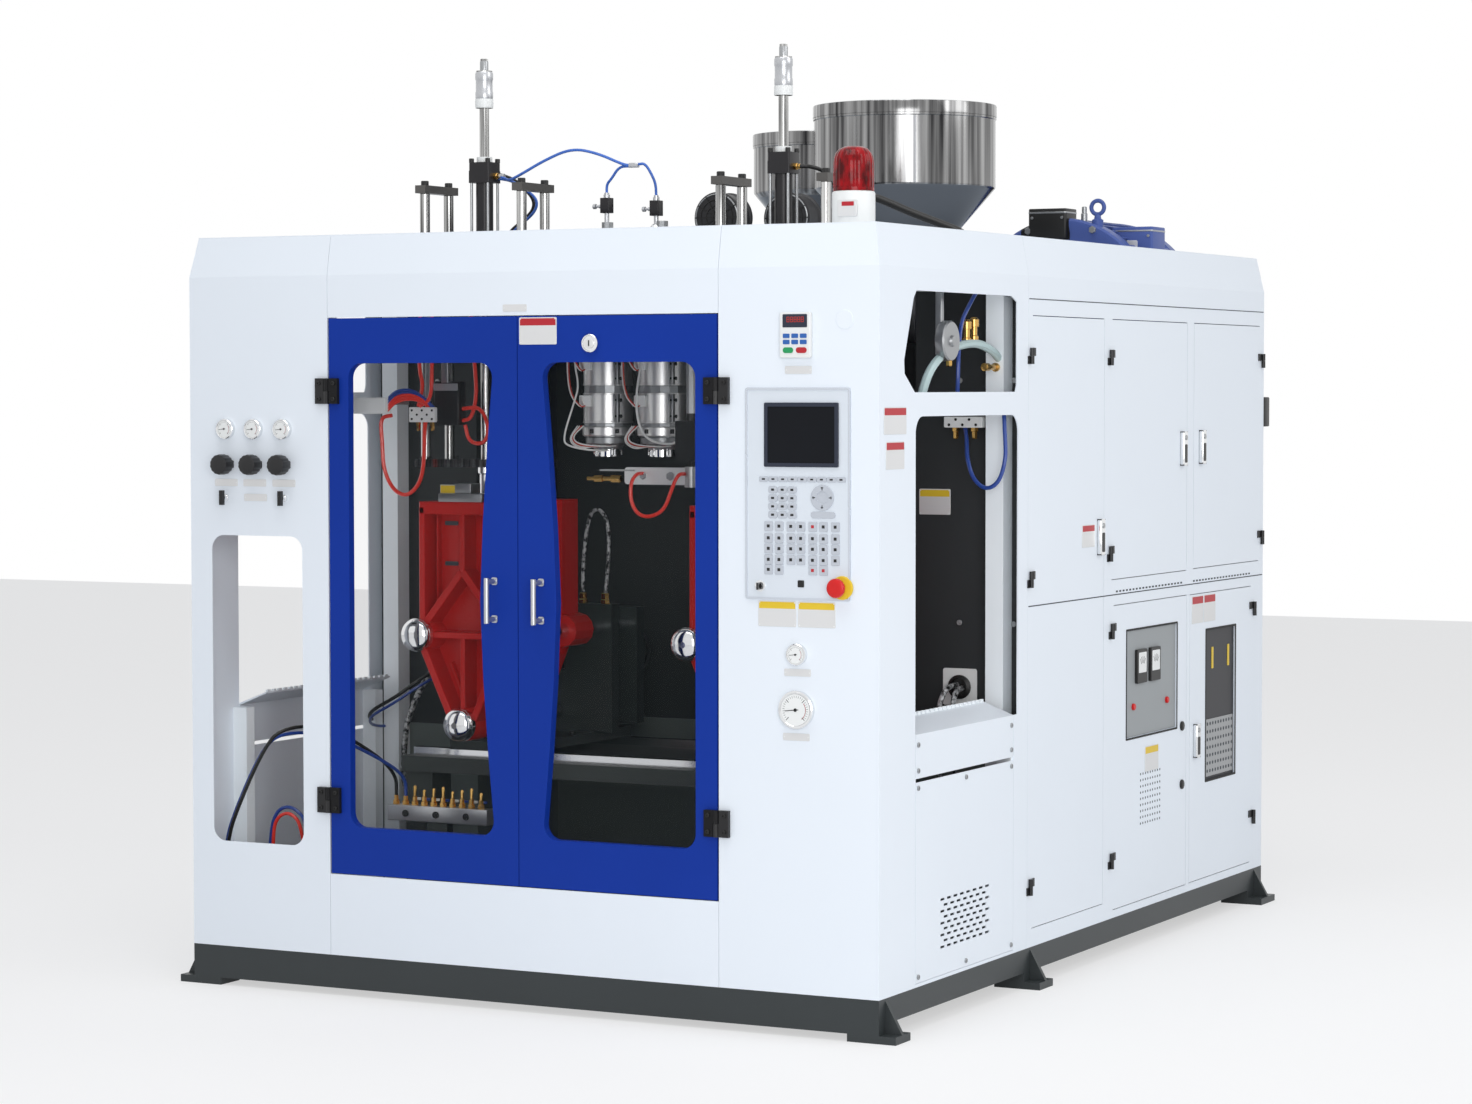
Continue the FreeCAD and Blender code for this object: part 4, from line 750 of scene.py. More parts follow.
def floor_material():
    """Pale floor that is partly lit by itself where it is seen or mirrored."""
    material, tree, shader = new_material("pale_floor")
    shader.inputs["Roughness"].default_value = 0.7
    shader.inputs["Base Color"].default_value = (0.86, 0.86, 0.87, 1)
    rays = tree.nodes.new("ShaderNodeLightPath").outputs
    seen = math_node(tree, "MAXIMUM", rays["Is Camera Ray"], rays["Is Glossy Ray"])
    blend(tree, math_node(tree, "MULTIPLY", seen, FLOOR_GLOW), shader.outputs[0],
          glow(tree, "ShaderNodeEmission", (1, 1, 1), 1.0), "Material Output")
    return material


def studio_world():
    """Soft sky light, and plain white wherever the sky itself is seen, mirrored or passed."""
    world = bpy.data.worlds.new("studio")
    world.use_nodes = True
    tree = world.node_tree
    air = tree.nodes["Background"]
    air.inputs["Color"].default_value = (0.93, 0.96, 1.0, 1)
    air.inputs["Strength"].default_value = 0.48
    rays = tree.nodes.new("ShaderNodeLightPath").outputs
    seen = math_node(tree, "MAXIMUM", rays["Is Camera Ray"], rays["Is Transmission Ray"])
    blend(tree, math_node(tree, "MAXIMUM", seen, rays["Is Glossy Ray"]), air.outputs[0],
          glow(tree, "ShaderNodeBackground", (1, 1, 1), 1.0), "World Output")
    return world


class MOULDER_OT_stage(bpy.types.Operator):
    """Pale floor, plain light and a camera at standing height off the right front corner"""
    bl_idname = "moulder.stage"
    bl_label = "Stage and camera"

    def execute(self, context):
        half = context.scene.machine_stage.floor_half
        mesh = bpy.data.meshes.new("floor")
        mesh.from_pydata([(-half, -half, 0), (half, -half, 0), (half, half, 0), (-half, half, 0)],
                         [], [(0, 1, 2, 3)])
        floor = add_object("floor", mesh)
        mesh.materials.append(floor_material())
        context.scene.world = studio_world()
        for name, spot, aim, size, share in LAMPS:
            lamp = bpy.data.lights.new(name, "AREA")
            lamp.size = size
            lamp.energy = context.scene.machine_stage.lamp_power * share
            item = add_object(name, lamp)
            item.location = spot
            aimed = Vector(aim) - Vector(spot)
            item.rotation_euler = aimed.to_track_quat("-Z", "Y").to_euler()
        lens = bpy.data.cameras.new("camera")
        lens.lens = CAMERA_LENS
        lens.sensor_width = 36.0
        camera = add_object("camera", lens)
        camera.location = (CAMERA_SPOT[0], FRONT / 1000 + CAMERA_SPOT[1], CAMERA_SPOT[2])
        camera.rotation_euler = [math.radians(turn) for turn in CAMERA_TURN]
        context.scene.camera = camera
        context.scene.view_settings.view_transform = "Standard"
        return {"FINISHED"}


# ------------------------------------------------------------------ pieces
SIDES = (("left", -1), ("right", 1))
# Heights of the front hinges and of the grips' feet, and the grips' bend as depth and height.
HINGE_UP = (1475, 479)


GRIP_UP = (934, 1024)
GRIP_BEND = ((-0.5, 934), (-26, 934), (-38, 934), (-38, 979), (-38, 1024), (-26, 1024),
             (-0.5, 1024))


class MOULDER_OT_doors(bpy.types.Operator):
    """Hinge screws, seals, grips, the round lock and a bare plate on the two front doors"""
    bl_idname = "moulder.doors"
    bl_label = "Door fittings"

    def execute(self, context):
        for side, sign in SIDES:
            for holder, across in (("machine_body", 554), (side + "_door_body", 512)):
                spots = [(sign * across, -11, up + step) for up in HINGE_UP for step in (-19, 19)]
                piece("%s_hinge_screws_%d" % (side, across),
                      [(screws(spots, "y", 5.2, -3.4), "tube_black")], holder)
            grip = sign * 64
            parts = [(frame_band((sign * 4, 22.4, 303), (sign * 531, 24.4, 1648), "y", 9, 3),
                      "rubber_foot")]
            parts += slabs("alloy", "y", 4, 0.8, [((grip - 8, -3.5, up - 9),
                                                   (grip + 8, -0.2, up + 9)) for up in GRIP_UP])
            parts += [(tube([(grip, *spot) for spot in GRIP_BEND], 6.2, 16, 64), "alloy"),
                      (lathe([(5, 925), (6.3, 926), (6.3, 1032), (5, 1033)], (grip, -38, 0), "z",
                             20), "alloy")]
            piece(side + "_door_trim", parts, side + "_door_body")
        lock = [
            (lathe([(21, -5.8), (21.5, -8), (20, -9.6), (17.5, -9.4), (16.8, -8.2)],
                   (200, 0, 1586), "y", 40), "chrome"),
            (lathe([(12.5, -8.4), (12.5, -10.4), (11, -11)], (200, 0, 1586), "y", 32),
             "plate_plain"),
            (slab((198.4, -11.6, 1579), (201.6, -11, 1593), "y", 1, 0.2), "tube_black"),
        ]
        lock += plate_parts((6, 108), (1584, 1648), 0, "band_red")
        piece("door_lock_trim", lock, "right_door_body")
        return {"FINISHED"}


# Plates on right-hand sheets as name, body, and reach in depth, reach in height and band.
SIDE_PLATES = (
    ("side_plates", "machine_body", (((22, 143), (1376, 1438), "band_red"),
                                     ((33, 132), (1297, 1360), "band_red"))),
    ("cabinet_plates_a", "cabinet_door_a_body", (((1217, 1303), (1075, 1133), "band_red"),)),
    ("cabinet_plates_d", "cabinet_door_d_body", (((1670, 1770), (460, 528), "band_yellow"),)),
    ("cabinet_plates_e", "cabinet_door_e_body", (((2026, 2116), (834, 910), "band_red"),
                                                 ((2122, 2214), (834, 910), "band_red"))),
)


class MOULDER_OT_plates(bpy.types.Operator):
    """Bare plates on the front sheets, the right side and three cabinet doors, and a hole blank"""
    bl_idname = "moulder.plates"
    bl_label = "Plates"

    def execute(self, context):
        parts = plate_parts((-39, 27), (1662, 1679))
        for across, up in ((-835, 1250), (-750, 1250), (-664, 1250), (-748, 1214)):
            parts += plate_parts((across - 34, across + 34), (up - 9, up + 9))
        for x, z, *band in (((706, 774), (1513, 1531)), ((704, 772), (826, 843)),
                            ((701, 769), (679, 696)), ((638, 735), (938, 997), "band_yellow"),
                            ((739, 834), (938, 997), "band_yellow")):
            parts += plate_parts(x, z, 0, *band)
        parts.append((lathe([(22, -0.1), (22, -1.2), (20.8, -1.8)], (856, 0, 1635), "y", 40),
                      "powder"))
        piece("front_plates", parts, "machine_body")
        for name, body, plates in SIDE_PLATES:
            parts = []
            for plate in plates:
                parts += side_plate_parts(*plate)
            piece(name, parts, body)
        return {"FINISHED"}


class MOULDER_OT_dials(bpy.types.Operator):
    """Chrome bezels, white faces, scales and needles over the five pressure dials"""
    bl_idname = "moulder.dials"
    bl_label = "Pressure dials"

    def execute(self, context):
        parts = []
        for across, up, radius in ((-833, 1382, 24), (-750, 1382, 24), (-665, 1382, 24),
                                   (738, 876, 24), (738, 750, 42)):
            parts += dial_parts(across, up, radius)
        piece("dial_faces", parts, "machine_body")
        return {"FINISHED"}


class MOULDER_OT_knobs(bpy.types.Operator):
    """Fluted regulator knobs with their collars, and bright rings round the air cocks"""
    bl_idname = "moulder.knobs"
    bl_label = "Regulator knobs"

    def execute(self, context):
        profile = [(8, 10), (8, -13), (17, -13.5), (20, -15), (24, -19), (24.6, -22),
                   (24.6, -44), (23.4, -48), (20, -49.8), (6, -50)]
        collar = [(15.5, -0.1), (15.5, -7), (14, -9), (9, -9.4)]
        ring = [(9, -0.1), (9, -6), (7.5, -7.5), (6, -13)]
        for number, across in enumerate((-826, -742, -658), 1):
            spot = (across, 0, 1295)
            piece("knob_%d" % number, [(fluted(profile, spot, "y", 14, 0.022), "knob_black")],
                  "knob_body_%d" % number, ("regulator_knob_%d" % number,))
            piece("knob_collar_%d" % number, [(lathe(collar, spot, "y", 6), "knob_black")],
                  "machine_body")
        for number, across in enumerate((-836, -663), 1):
            piece("cock_ring_%d" % number, [(lathe(ring, (across, 0, 1213), "y", 24), "chrome")],
                  "cock_body_%d" % number)
        return {"FINISHED"}


# Depths of the silver face, of the keys' foot and top, and of the keypad's face.
PANEL_FACE = -3.0
KEY_FOOT, KEY_TOP = PANEL_FACE - 0.2, PANEL_FACE - 2.4
PAD_FACE = -12.3


def key_parts(across, up, wide, high, mark="tube_black", corner=2.5):
    """Cap of one membrane key, and its printed mark where it has one."""
    cap = slab((across - wide / 2, KEY_FOOT, up - high / 2),
               (across + wide / 2, KEY_TOP, up + high / 2), "y", corner, 0.8)
    if not mark:
        return cap, []
    return cap, [(slab((across - wide * 0.17, KEY_TOP, up - high * 0.15),
                       (across + wide * 0.17, KEY_TOP - 0.15, up + high * 0.17), "y", 0.6, 0.05),
                  mark)]


def key_field():
    """Soft keys under the screen, the number block, the wide key and the function keys."""
    keys = [key_parts(653.5 + 24.5 * number, 1274, 23, 12) for number in range(9)]
    keys += [key_parts(677 + 24.5 * column, 1250 - 19 * row, 23, 16, corner=5)
             for row in range(4) for column in range(3)]
    keys.append(key_parts(804, 1194, 62, 15, None, 7))
    for row, up in enumerate((1167, 1140, 1116, 1091, 1068)):
        for column, across in enumerate((666, 693, 723, 748, 778, 805, 835)):
            if row == 4 and column in (2, 3, 6):
                continue
            red = (row, column) in ((0, 4), (4, 4), (4, 5))
            keys.append(key_parts(across, up, 21.5, 22, "band_red" if red else "tube_black"))
    marks = [part for cap, mark in keys for part in mark]
    return [(joined([cap for cap, mark in keys]), "key_caps")] + marks


class MOULDER_OT_control(bpy.types.Operator):
    """Screen, raised rim, membrane keys, stop button, key switch and drive keypad"""
    bl_idname = "moulder.control"
    bl_label = "Control column"

    def execute(self, context):
        face = PANEL_FACE
        piece("panel_frame", [
            (frame_band((607, -0.1, 1000), (872, -5.2, 1482), "y", 5, 5), "silver_rim"),
            (frame_band((656, face, 1302), (843, face - 4.6, 1448), "y", 9, 3), "bezel_dark"),
            (slab((665, face - 1, 1311), (834, face - 2.6, 1439), "y", 2, 0.3), "screen_glass"),
            (lathe([(27, face), (27, face - 2.5), (25, face - 4.2)], (852, 0, 1030), "y", 40),
             "band_yellow"),
            (lathe([(13.5, face), (13.5, face - 2.5), (11, face - 3.4), (9.6, face - 3.4)],
                   (645, 0, 1030), "y", 32), "chrome"),
        ], "machine_body")

        parts = key_field() + [
            (lathe([(29, KEY_FOOT), (29, KEY_TOP + 0.6), (28.2, KEY_TOP), (15, KEY_TOP),
                    (14.4, KEY_FOOT - 0.4)], (802, 0, 1233), "y", 48), "key_caps")]
        parts += [(radial_bars((802, 1233), inner, outer, half, KEY_TOP, 0.15,
                               (0, 90, 180, 270)), "tube_black")
                  for inner, outer, half in ((17, 24.5, 1.1), (21.5, 23.5, 3.2))]
        parts.append((slab((740, face - 0.2, 1029), (756, face - 1.6, 1045), "y", 2, 0.4),
                      "tube_black"))
        piece("membrane_keys", parts, "machine_body", ("panel_keys",))

        stop = lathe([(8, 0), (8, -17), (16, -18), (21.2, -19), (22.2, -21), (22.2, -25),
                      (20.6, -28.6), (16.5, -30.6), (9, -31), (3, -30.6)], (845, 0, 1030), "y", 48)
        piece("stop_head", [(stop, "signal_red")], "estop_body",
              ("estop_button",))

        digit = joined([slab((-2.6, 0, base), (2.6, -0.2, base + 1.2), "y", 0.4, 0.05)
                        for base in (-6, -0.6, 4.8)]
                       + [slab((step - 0.6, 0, -6), (step + 0.6, -0.2, 6), "y", 0.4, 0.05)
                          for step in (-2.8, 2.8)])
        case = [
            (slab((698, -0.1, 1549), (776, -12.4, 1653), "y", 5, 2.2), "white_cap"),
            (slab((706, PAD_FACE, 1618), (768, -13.2, 1648), "y", 2.5, 0.3), "bezel_dark"),
            (copies(digit, [(720 + 9 * step, -13.2, 1636) for step in range(5)]), "digit_red"),
        ]
        case += slabs("key_blue", "y", 2, 0.6, [
            ((707 + 21.5 * column, PAD_FACE, 1594 - 14 * row),
             (724 + 21.5 * column, -14, 1604 - 14 * row)) for row in range(2)
            for column in range(3)])
        for low, high, coat_name in ((707, 733, "key_green"), (740, 767, "band_red")):
            case += slabs(coat_name, "y", 6, 0.6, [((low, PAD_FACE, 1560), (high, -14, 1573))])
        piece("drive_pad", case, "machine_body", ("drive_keypad",))
        return {"FINISHED"}


# Top of the roof deck, and the middle of the beacon's foot on it.
ROOF = 1854
BEACON = (783, 200, ROOF)


class MOULDER_OT_beacon(bpy.types.Operator):
    """Ribbed red lens with a rounded top on its white base"""
    bl_idname = "moulder.beacon"
    bl_label = "Beacon"

    def execute(self, context):
        lens = [(46, 80), (47, 82), (47, 146), (45.5, 157), (41, 168), (33, 177), (20, 182.5),
                (6, 183)]
        rim = [(47.6, 80), (47.8, 84), (47.6, 88)]
        foot = [(50, 0.2), (50, 74), (48.6, 78), (46, 80)]
        piece("beacon_lens", [(fluted(lens, BEACON, "z", 24, 0.012, 144), "lens_red"),
                              (lathe(rim, BEACON, "z", 48), "lens_red")],
              "machine_body", ("beacon_dome",))
        piece("beacon_foot", [
            (lathe(foot, BEACON, "z", 56), "white_cap"),
            (slab((766, 148.2, ROOF + 20), (814, 156, ROOF + 58), "y", 3, 0.5), "plate_plain"),
            (slab((777, 147.9, ROOF + 44), (808, 150, ROOF + 54), "y", 1, 0.1), "band_red")],
            "machine_body", ("beacon_base",))
        return {"FINISHED"}


# Distance of a clamp station from the middle, its three bars, its ram and their skins' radius.
STATION = 386
BARS = ((-124, 861), (124, 861), (0, 638))
RAM_UP = 770
BAR_SKIN = 20.35


class MOULDER_OT_clamps(bpy.types.Operator):
    """Chromed dome nuts, bar skins, cylinder end caps and cap screws of the two clamp stations"""
    bl_idname = "moulder.clamps"
    bl_label = "Clamp stations"

    def execute(self, context):
        turn = np.linspace(0, np.pi / 2, 9)[:-1]
        dome = [(41.5, 0), (42, -2), (42, -16)] + [
            (41.5 * np.cos(a), -16.5 - 21.5 * np.sin(a)) for a in turn]
        for side, sign in SIDES:
            x, clamp = sign * STATION, side + "_clamp_body"
            nuts = joined([lathe(dome, (x + dx, 370, up), "y", 44) for dx, up in BARS])
            piece(side + "_dome_nuts", [(nuts, "chrome")], clamp)
            caps = [sleeve(23, 67, 0, 29, (x, 1020.2, RAM_UP), "y", 44, 2),
                    lathe([(64, 0), (67, 3), (67, 22), (63, 25)], (x, 1216, RAM_UP), "y", 44)]
            heads = [(x + dx, 1046.5, RAM_UP + dz) for dx in (-44, 44) for dz in (-44, 44)]
            piece(side + "_cylinder_caps", [(joined(caps), "case_black"),
                                            (screws(heads, "y", 7, 7), "machined")],
                  clamp)
            runs = turned_at([(x + dx, 438, up) for dx, up in BARS],
                             [(BAR_SKIN, 0), (BAR_SKIN, 610)], "y", 32)
            piece(side + "_bar_skins", [(runs, "bright_bar")], clamp)
            ram = lathe([(BAR_SKIN, 688), (BAR_SKIN, 1049)], (x, 0, RAM_UP), "y", 32)
            piece(side + "_ram_skin", [(ram, "bright_bar")], side + "_platen_body")
            feet = [(x + dx, along, 585.2) for dx in (-95, 95) for along in (530, 760, 960)]
            piece(side + "_carriage_screws", [(screws(feet, "z", 7, 6), "tube_black")],
                  side + "_carriage_body")
        return {"FINISHED"}


PLATEN_OUTLINE = ((-125, 1197), (125, 1197), (125, 891), (118, 801), (40, 630), (-40, 630),
                  (-118, 801), (-125, 891))
# Ribs as start, end, half width, crest and edge; the second lot is mirrored to both sides.
MIDDLE_RIBS = (((-125, 1181), (125, 1181), 16, 371, 3), ((0, 1012), (0, 1184), 7, 374),
               ((0, 640), (0, 861), 7, 374), ((-122, 861), (122, 861), 8, 373))
PAIRED_RIBS = (((117, 866), (117, 1184), 8, 371), ((2, 1022), (114, 884), 9.5, 372),
               ((122, 842), (27, 640), 9.5, 371), ((97, 905), (97, 1166), 2.5, 412),
               ((62, 790), (18, 690), 3, 418))


class MOULDER_OT_platens(bpy.types.Operator):
    """Cast front platens: a facing plate, ribs that part above the bars, and bar bosses"""
    bl_idname = "moulder.platens"
    bl_label = "Front platens"

    def execute(self, context):
        for side, sign in SIDES:
            x = sign * STATION
            forms = [prism([(x + dx, up) for dx, up in PLATEN_OUTLINE], 432, 460)]
            marks = []
            for way, ribs in ((1, MIDDLE_RIBS), (-1, PAIRED_RIBS), (1, PAIRED_RIBS)):
                forms += [rib((x + way * start[0], start[1]), (x + way * end[0], end[1]), half,
                              crest, 434, *edge) for start, end, half, crest, *edge in ribs]
            # Painted shade: the dark groove slabs stand for the slots in the platen face, their
            # colour the shade inside the slots.
            for way in (-1, 1):
                marks += [slab((x + way * 45, 430.8, up), (x + way * 85, 432.6, up + 11), "y", 3,
                               0.3) for up in (1034, 1136)]
            forms += [lathe([(42, 460), (42, 375), (39.5, 371)], (x + dx, 0, up), "y", 40)
                      for dx, up in BARS]
            piece(side + "_platen_casting", [(joined(forms), "cast_red"),
                                             (joined(marks), "groove")],
                  side + "_clamp_body", (side + "_front_platen",))
            rest = [(slab((x - 69, 374, 1197.2), (x + 58, 455, 1218), "z", 2, 1), "machined"),
                    (slab((x - 24, 380, 1218), (x + 23, 428, 1243), "z", 2, 1.5), "machined")]
            if sign < 0:
                rest += [(slab((x - 66, 381, 1219), (x - 5, 383.4, 1238), "y", 1, 0.3),
                          "band_yellow"),
                         (slab((x - 68, 382.8, 1217.6), (x - 3, 385, 1240), "y", 1, 0.3),
                          "plate_plain")]
            piece(side + "_platen_rest", rest, side + "_clamp_body")
        return {"FINISHED"}


# Depth of the parison heads, and the six turns at which their bolts stand.
HEAD_Y = 575
TURNS = np.radians(np.arange(0, 360, 60) + 20)


def ring_of(across, radius, up):
    """Six places round a parison head."""
    return [(across + radius * math.cos(a), HEAD_Y + radius * math.sin(a), up) for a in TURNS]


def band_parts(across, low, high):
    """Heater band: a thin polished sleeve with rolled rims and a clamp gap drawn up by screws,
    and the white terminal box on its front."""
    bare, rolled = 61.2, 61.2 + 1.6
    rim = [(bare, low), (rolled, low + 1), (rolled, low + 4), (bare + 0.6, low + 5),
           (bare + 0.6, high - 5), (rolled, high - 4), (rolled, high - 1), (bare, high)]
    parts = [(lathe(rim, (across, HEAD_Y, 0), "z", 48), "band_steel")]
    parts += slabs("machined", "z", 1.5, 0.8, [
        ((across + near, HEAD_Y - 47, low + 3), (across + near + 5, HEAD_Y - 36, high - 3))
        for near in (40, 50)])
    drawn = [(across + 36, HEAD_Y - 41.5, up) for up in (low + 18, high - 18)]
    return parts + [
        (turned_at(drawn, [(5, 0), (5, 4), (2.6, 4.5), (2.6, 22), (4.4, 22.5), (4.4, 26)], "x",
                   12), "tube_black"),
        (slab((across - 44, 506, high - 34), (across - 12, 522, high - 6), "y", 3, 1),
         "white_cap"),
        (slab((across - 40, 505, high - 30), (across - 30, 506.2, high - 10), "y", 2, 0.2),
         "band_steel")]


def heater_wires(across):
    """Pairs of wires from the terminal boxes up to the roof, and four loops below the bands."""
    wires = []
    for high, shift in ((1550, 0), (1460, -9)):
        for box, coat_name in ((across - 30, "tube_white"), (across - 26, "wire_red")):
            wires.append((tube([(box, 505, high - 22), (box - 6, 494, high - 26),
                                (box - 28 + shift, 490, high + 12),
                                (box - 34 + shift, 496, 1588), (box - 30, 505, 1611)],
                               1.7, 6, 30), coat_name))
    for strand in range(4):
        wires.append((tube([(across - 52 + 6 * strand, 512, 1388),
                            (across - 70 + 4 * strand, 494, 1352 + 3 * strand),
                            (across - 36, 490 - 2 * strand, 1330 + 4 * strand),
                            (across + 12 * strand - 8, 505, 1336),
                            (across + 14 * strand, 540, 1338)], 1.6, 6, 26),
                      "wire_red" if strand == 2 else "tube_white"))
    return wires


class MOULDER_OT_heads(bpy.types.Operator):
    """Heater bands, terminal boxes, clamp rings and wires on the two parison heads"""
    bl_idname = "moulder.heads"
    bl_label = "Parison heads"

    def execute(self, context):
        parts, wires = [], []
        for across in (-78, 78):
            for low, high in ((1394, 1470), (1488, 1560)):
                parts += band_parts(across, low, high)
            for profile, sides, coat_name in (
                    ([(60.8, 1362), (64, 1364), (64, 1384), (60.8, 1386)], 48, "band_steel"),
                    ([(54, 1342), (56, 1344), (56, 1358), (52, 1361)], 48, "die_steel"),
                    ([(30, 1309.5), (34, 1311), (34, 1338), (30, 1342)], 36, "chrome")):
                parts.append((lathe(profile, (across, HEAD_Y, 0), "z", sides), coat_name))
            parts.append((turned_at(ring_of(across, 64, 1374), [(5.5, -5), (5.5, 5), (4, 6)],
                                    "z", 12), "tube_black"))
            parts.append((turned_at(ring_of(across, 32, 1324), [(4.5, -9), (4.5, 7), (3.6, 9)],
                                    "z", 8), "chrome"))
            wires += heater_wires(across)
        piece("heater_bands", parts, "machine_body")
        wires += [
            (tube([(55, 505, 1540), (46, 492, 1452), (60, 488, 1378), (97, 484, 1348),
                   (167, 470, 1342), (200, 440, 1362), (212, 430, 1374)], 3, 8, 48),
             "tube_white"),
            (tube([(-133, 520, 1611), (-133, 500, 1547), (-116, 495, 1489), (-125, 490, 1452),
                   (-160, 486, 1352), (-139, 486, 1336), (-88, 500, 1327), (-60, 549, 1326)],
                  2.4, 8, 56), "tube_white")]
        piece("heater_wires", wires, "machine_body")
        piece("cutter_trim", [
            (slab((60, 411, 1246), (238, 414.1, 1288), "y", 8, 0.8), "plate_plain"),
            (lathe([(9, 0), (9, -5), (7.5, -6.5)], (113, 411, 1267), "y", 6), "machined"),
            (lathe([(11, 0), (11, -6), (9, -7.5)], (190, 411, 1267), "y", 6), "machined"),
        ], "cutter_body")
        return {"FINISHED"}


# Place of the blow stations and of their guide rods round the middle rod.
BLOW_X = 425
BLOW_Y = 555
GUIDES = (143, 57)


def four(x, y, z, across, along):
    """Four places round a middle one, at the corners of a level rectangle."""
    return [(x + dx, y + dy, z) for dx in (-across, across) for dy in (-along, along)]


def blow_cylinder_parts(x):
    """Mount, tie-rod cylinder, cap screws, guide bushes and fitting of one blow station."""
    mount = [slab((x - 183, 440, 1756), (x + 183, 484, 1776), "z", 4, 1),
             slab((x - 183, 626, 1756), (x + 183, 670, 1776), "z", 4, 1),
             slab((x - 183, 513, 1756), (x - 14, 597, 1776), "z", 2, 1),
             slab((x + 14, 513, 1756), (x + 183, 597, 1776), "z", 2, 1),
             sleeve(13, 22, 1799, 2004, (x, BLOW_Y, 0), "z", 40)]
    for reach, low, high, wide, corner in ((29, 1776, 1800, 16, 3), (30, 2003, 2034, 17, 3),
                                           (29.4, 2034, 2055, 16, 4)):
        mount.append(frame_band((x - reach, BLOW_Y - reach, low), (x + reach, BLOW_Y + reach, high),
                                "z", wide, corner))
    return [
        (joined(mount), "case_black"),
        (turned_at(four(x, BLOW_Y, 1799, 24, 24), [(3.6, 0), (3.6, 205)], "z", 12), "machined"),
        (screws(four(x, BLOW_Y, 2055, 24, 24), "z", 6.5, 10), "tube_black"),
        (sleeve(13, 20, 2055, 2069, (x, BLOW_Y, 0), "z", 32), "white_cap"),
        (screws(four(x, BLOW_Y, 1776, 165, 100), "z", 8, 8), "tube_black"),
        (copies(sleeve(13.3, 23, 0, 18, ORIGIN, "z", 24), four(x, BLOW_Y, 1776, *GUIDES)),
         "alloy"),
        (lathe([(9, 0), (9, 8), (7, 9), (7, 15), (5, 16)], (x + 29.6, BLOW_Y, 2020), "x", 6),
         "brass")]


def roof_valve_parts():
    """Valve over each parison head with its port, a chrome ball and the hose junction."""
    parts = []
    for x, up in ((-80, 1939), (61, 1929)):
        parts += [
            (slab((x - 13, 562, up - 19), (x + 13, 588, up + 19), "z", 2.5, 1), "case_black"),
            (lathe([(6, 1853.8), (6, up - 18.8)], (x, HEAD_Y, 0), "z", 16), "alloy"),
            (lathe([(8, up + 18.8), (8, up + 27), (6, up + 28), (6, up + 32)], (x, HEAD_Y, 0),
                   "z", 12), "alloy"),
            (lathe([(5, 0), (5, -6), (3, -7), (3, -14), (6.5, -15), (6.5, -22), (4, -24)],
                   (x - 13, 570, up - 2), "x", 16), "alloy")]
    t = np.linspace(-1.2, 1.5, 9)
    ball = np.stack([17 * np.cos(t), 1876 + 17 * np.sin(t)], -1)
    return parts + [(lathe(ball, (61, HEAD_Y, 0), "z", 24), "chrome"),
                    (slab((-4, 549, 2030), (22, 561, 2042), "x", 3, 1.5), "alloy")]


def blower_parts(x, y):
    """Round blower on its foot: drum with rims, guard rings and spokes on its front."""
    up = 1920.2
    drum = [(58, -39), (66, -36), (66, -28), (62, -25), (62, 25), (66, 28), (66, 36), (58, 39)]
    parts = [(lathe(drum, (x, y, up), "y", 56), "gauge_black"),
             (slab((x - 40, y - 36, 1854.2), (x + 40, y + 36, 1862), "z", 4, 1), "gauge_black")]
    for radius, coat_name in ((60, "machined"), (46, "tube_black"), (30, "tube_black")):
        parts.append((ring_form((x, y - 39.5, up), radius, 1.8, "y", 44, 6), coat_name))
    return parts + [(radial_bars((x, up), 8, 62, 1.6, y - 38.5, 2.6, np.arange(0, 360, 30)),
                     "tube_black")]


def blow_trim_parts(x):
    """Moving part of a blow station: rod end, blow pin, skins of the guides and screws."""
    parts = [(lathe(profile, (x, BLOW_Y, 0), "z", sides), coat_name)
             for profile, sides, coat_name in (
                 ([(22.6, 2193), (23, 2195), (23, 2214), (22.6, 2216)], 36, "white_cap"),
                 ([(21.6, 2216), (22.6, 2219), (22.6, 2232), (21.4, 2236), (21.4, 2262),
                   (22.8, 2266), (22.8, 2280), (20, 2286), (12, 2288)], 36, "alloy"),
                 ([(10.8, 2288), (10.8, 2309), (8, 2317.5)], 20, "machined"),
                 ([(15.6, 1200), (15.6, 1262), (20, 1266), (20, 1281.6)], 28, "chrome"))]
    plate = [(x + dx, y, 1302) for dx in (-150, -128, 128, 150) for y in (490, 620)]
    return parts + [
        (turned_at(four(x, BLOW_Y, 1294, *GUIDES), [(12.75, 0), (12.75, 682)], "z", 24),
         "guide_bar"),
        (lathe([(12.3, 1294), (12.3, 2194)], (x, BLOW_Y, 0), "z", 28), "guide_bar"),
        (screws(plate, "z", 6, 6), "tube_black"),
        (screws(four(x, BLOW_Y, 1997.8, *GUIDES), "z", 10, 12), "tube_black")]


class MOULDER_OT_roof(bpy.types.Operator):
    """Blow cylinders, valves and blowers on the roof, and the moving rods of the blow stations"""
    bl_idname = "moulder.roof"
    bl_label = "Roof fittings"

    def execute(self, context):
        piece("blow_cylinders", blow_cylinder_parts(-BLOW_X) + blow_cylinder_parts(BLOW_X),
              "machine_body", ("left_blow_cylinder", "right_blow_cylinder"))
        piece("roof_valves", roof_valve_parts(), "machine_body", ("top_valves",))
        piece("round_blowers", blower_parts(55, 950) + blower_parts(205, 1050), "machine_body",
              ("barrel_fans",))
        for side, sign in SIDES:
            piece(side + "_blow_trim", blow_trim_parts(sign * BLOW_X), side + "_blow_body")
        return {"FINISHED"}


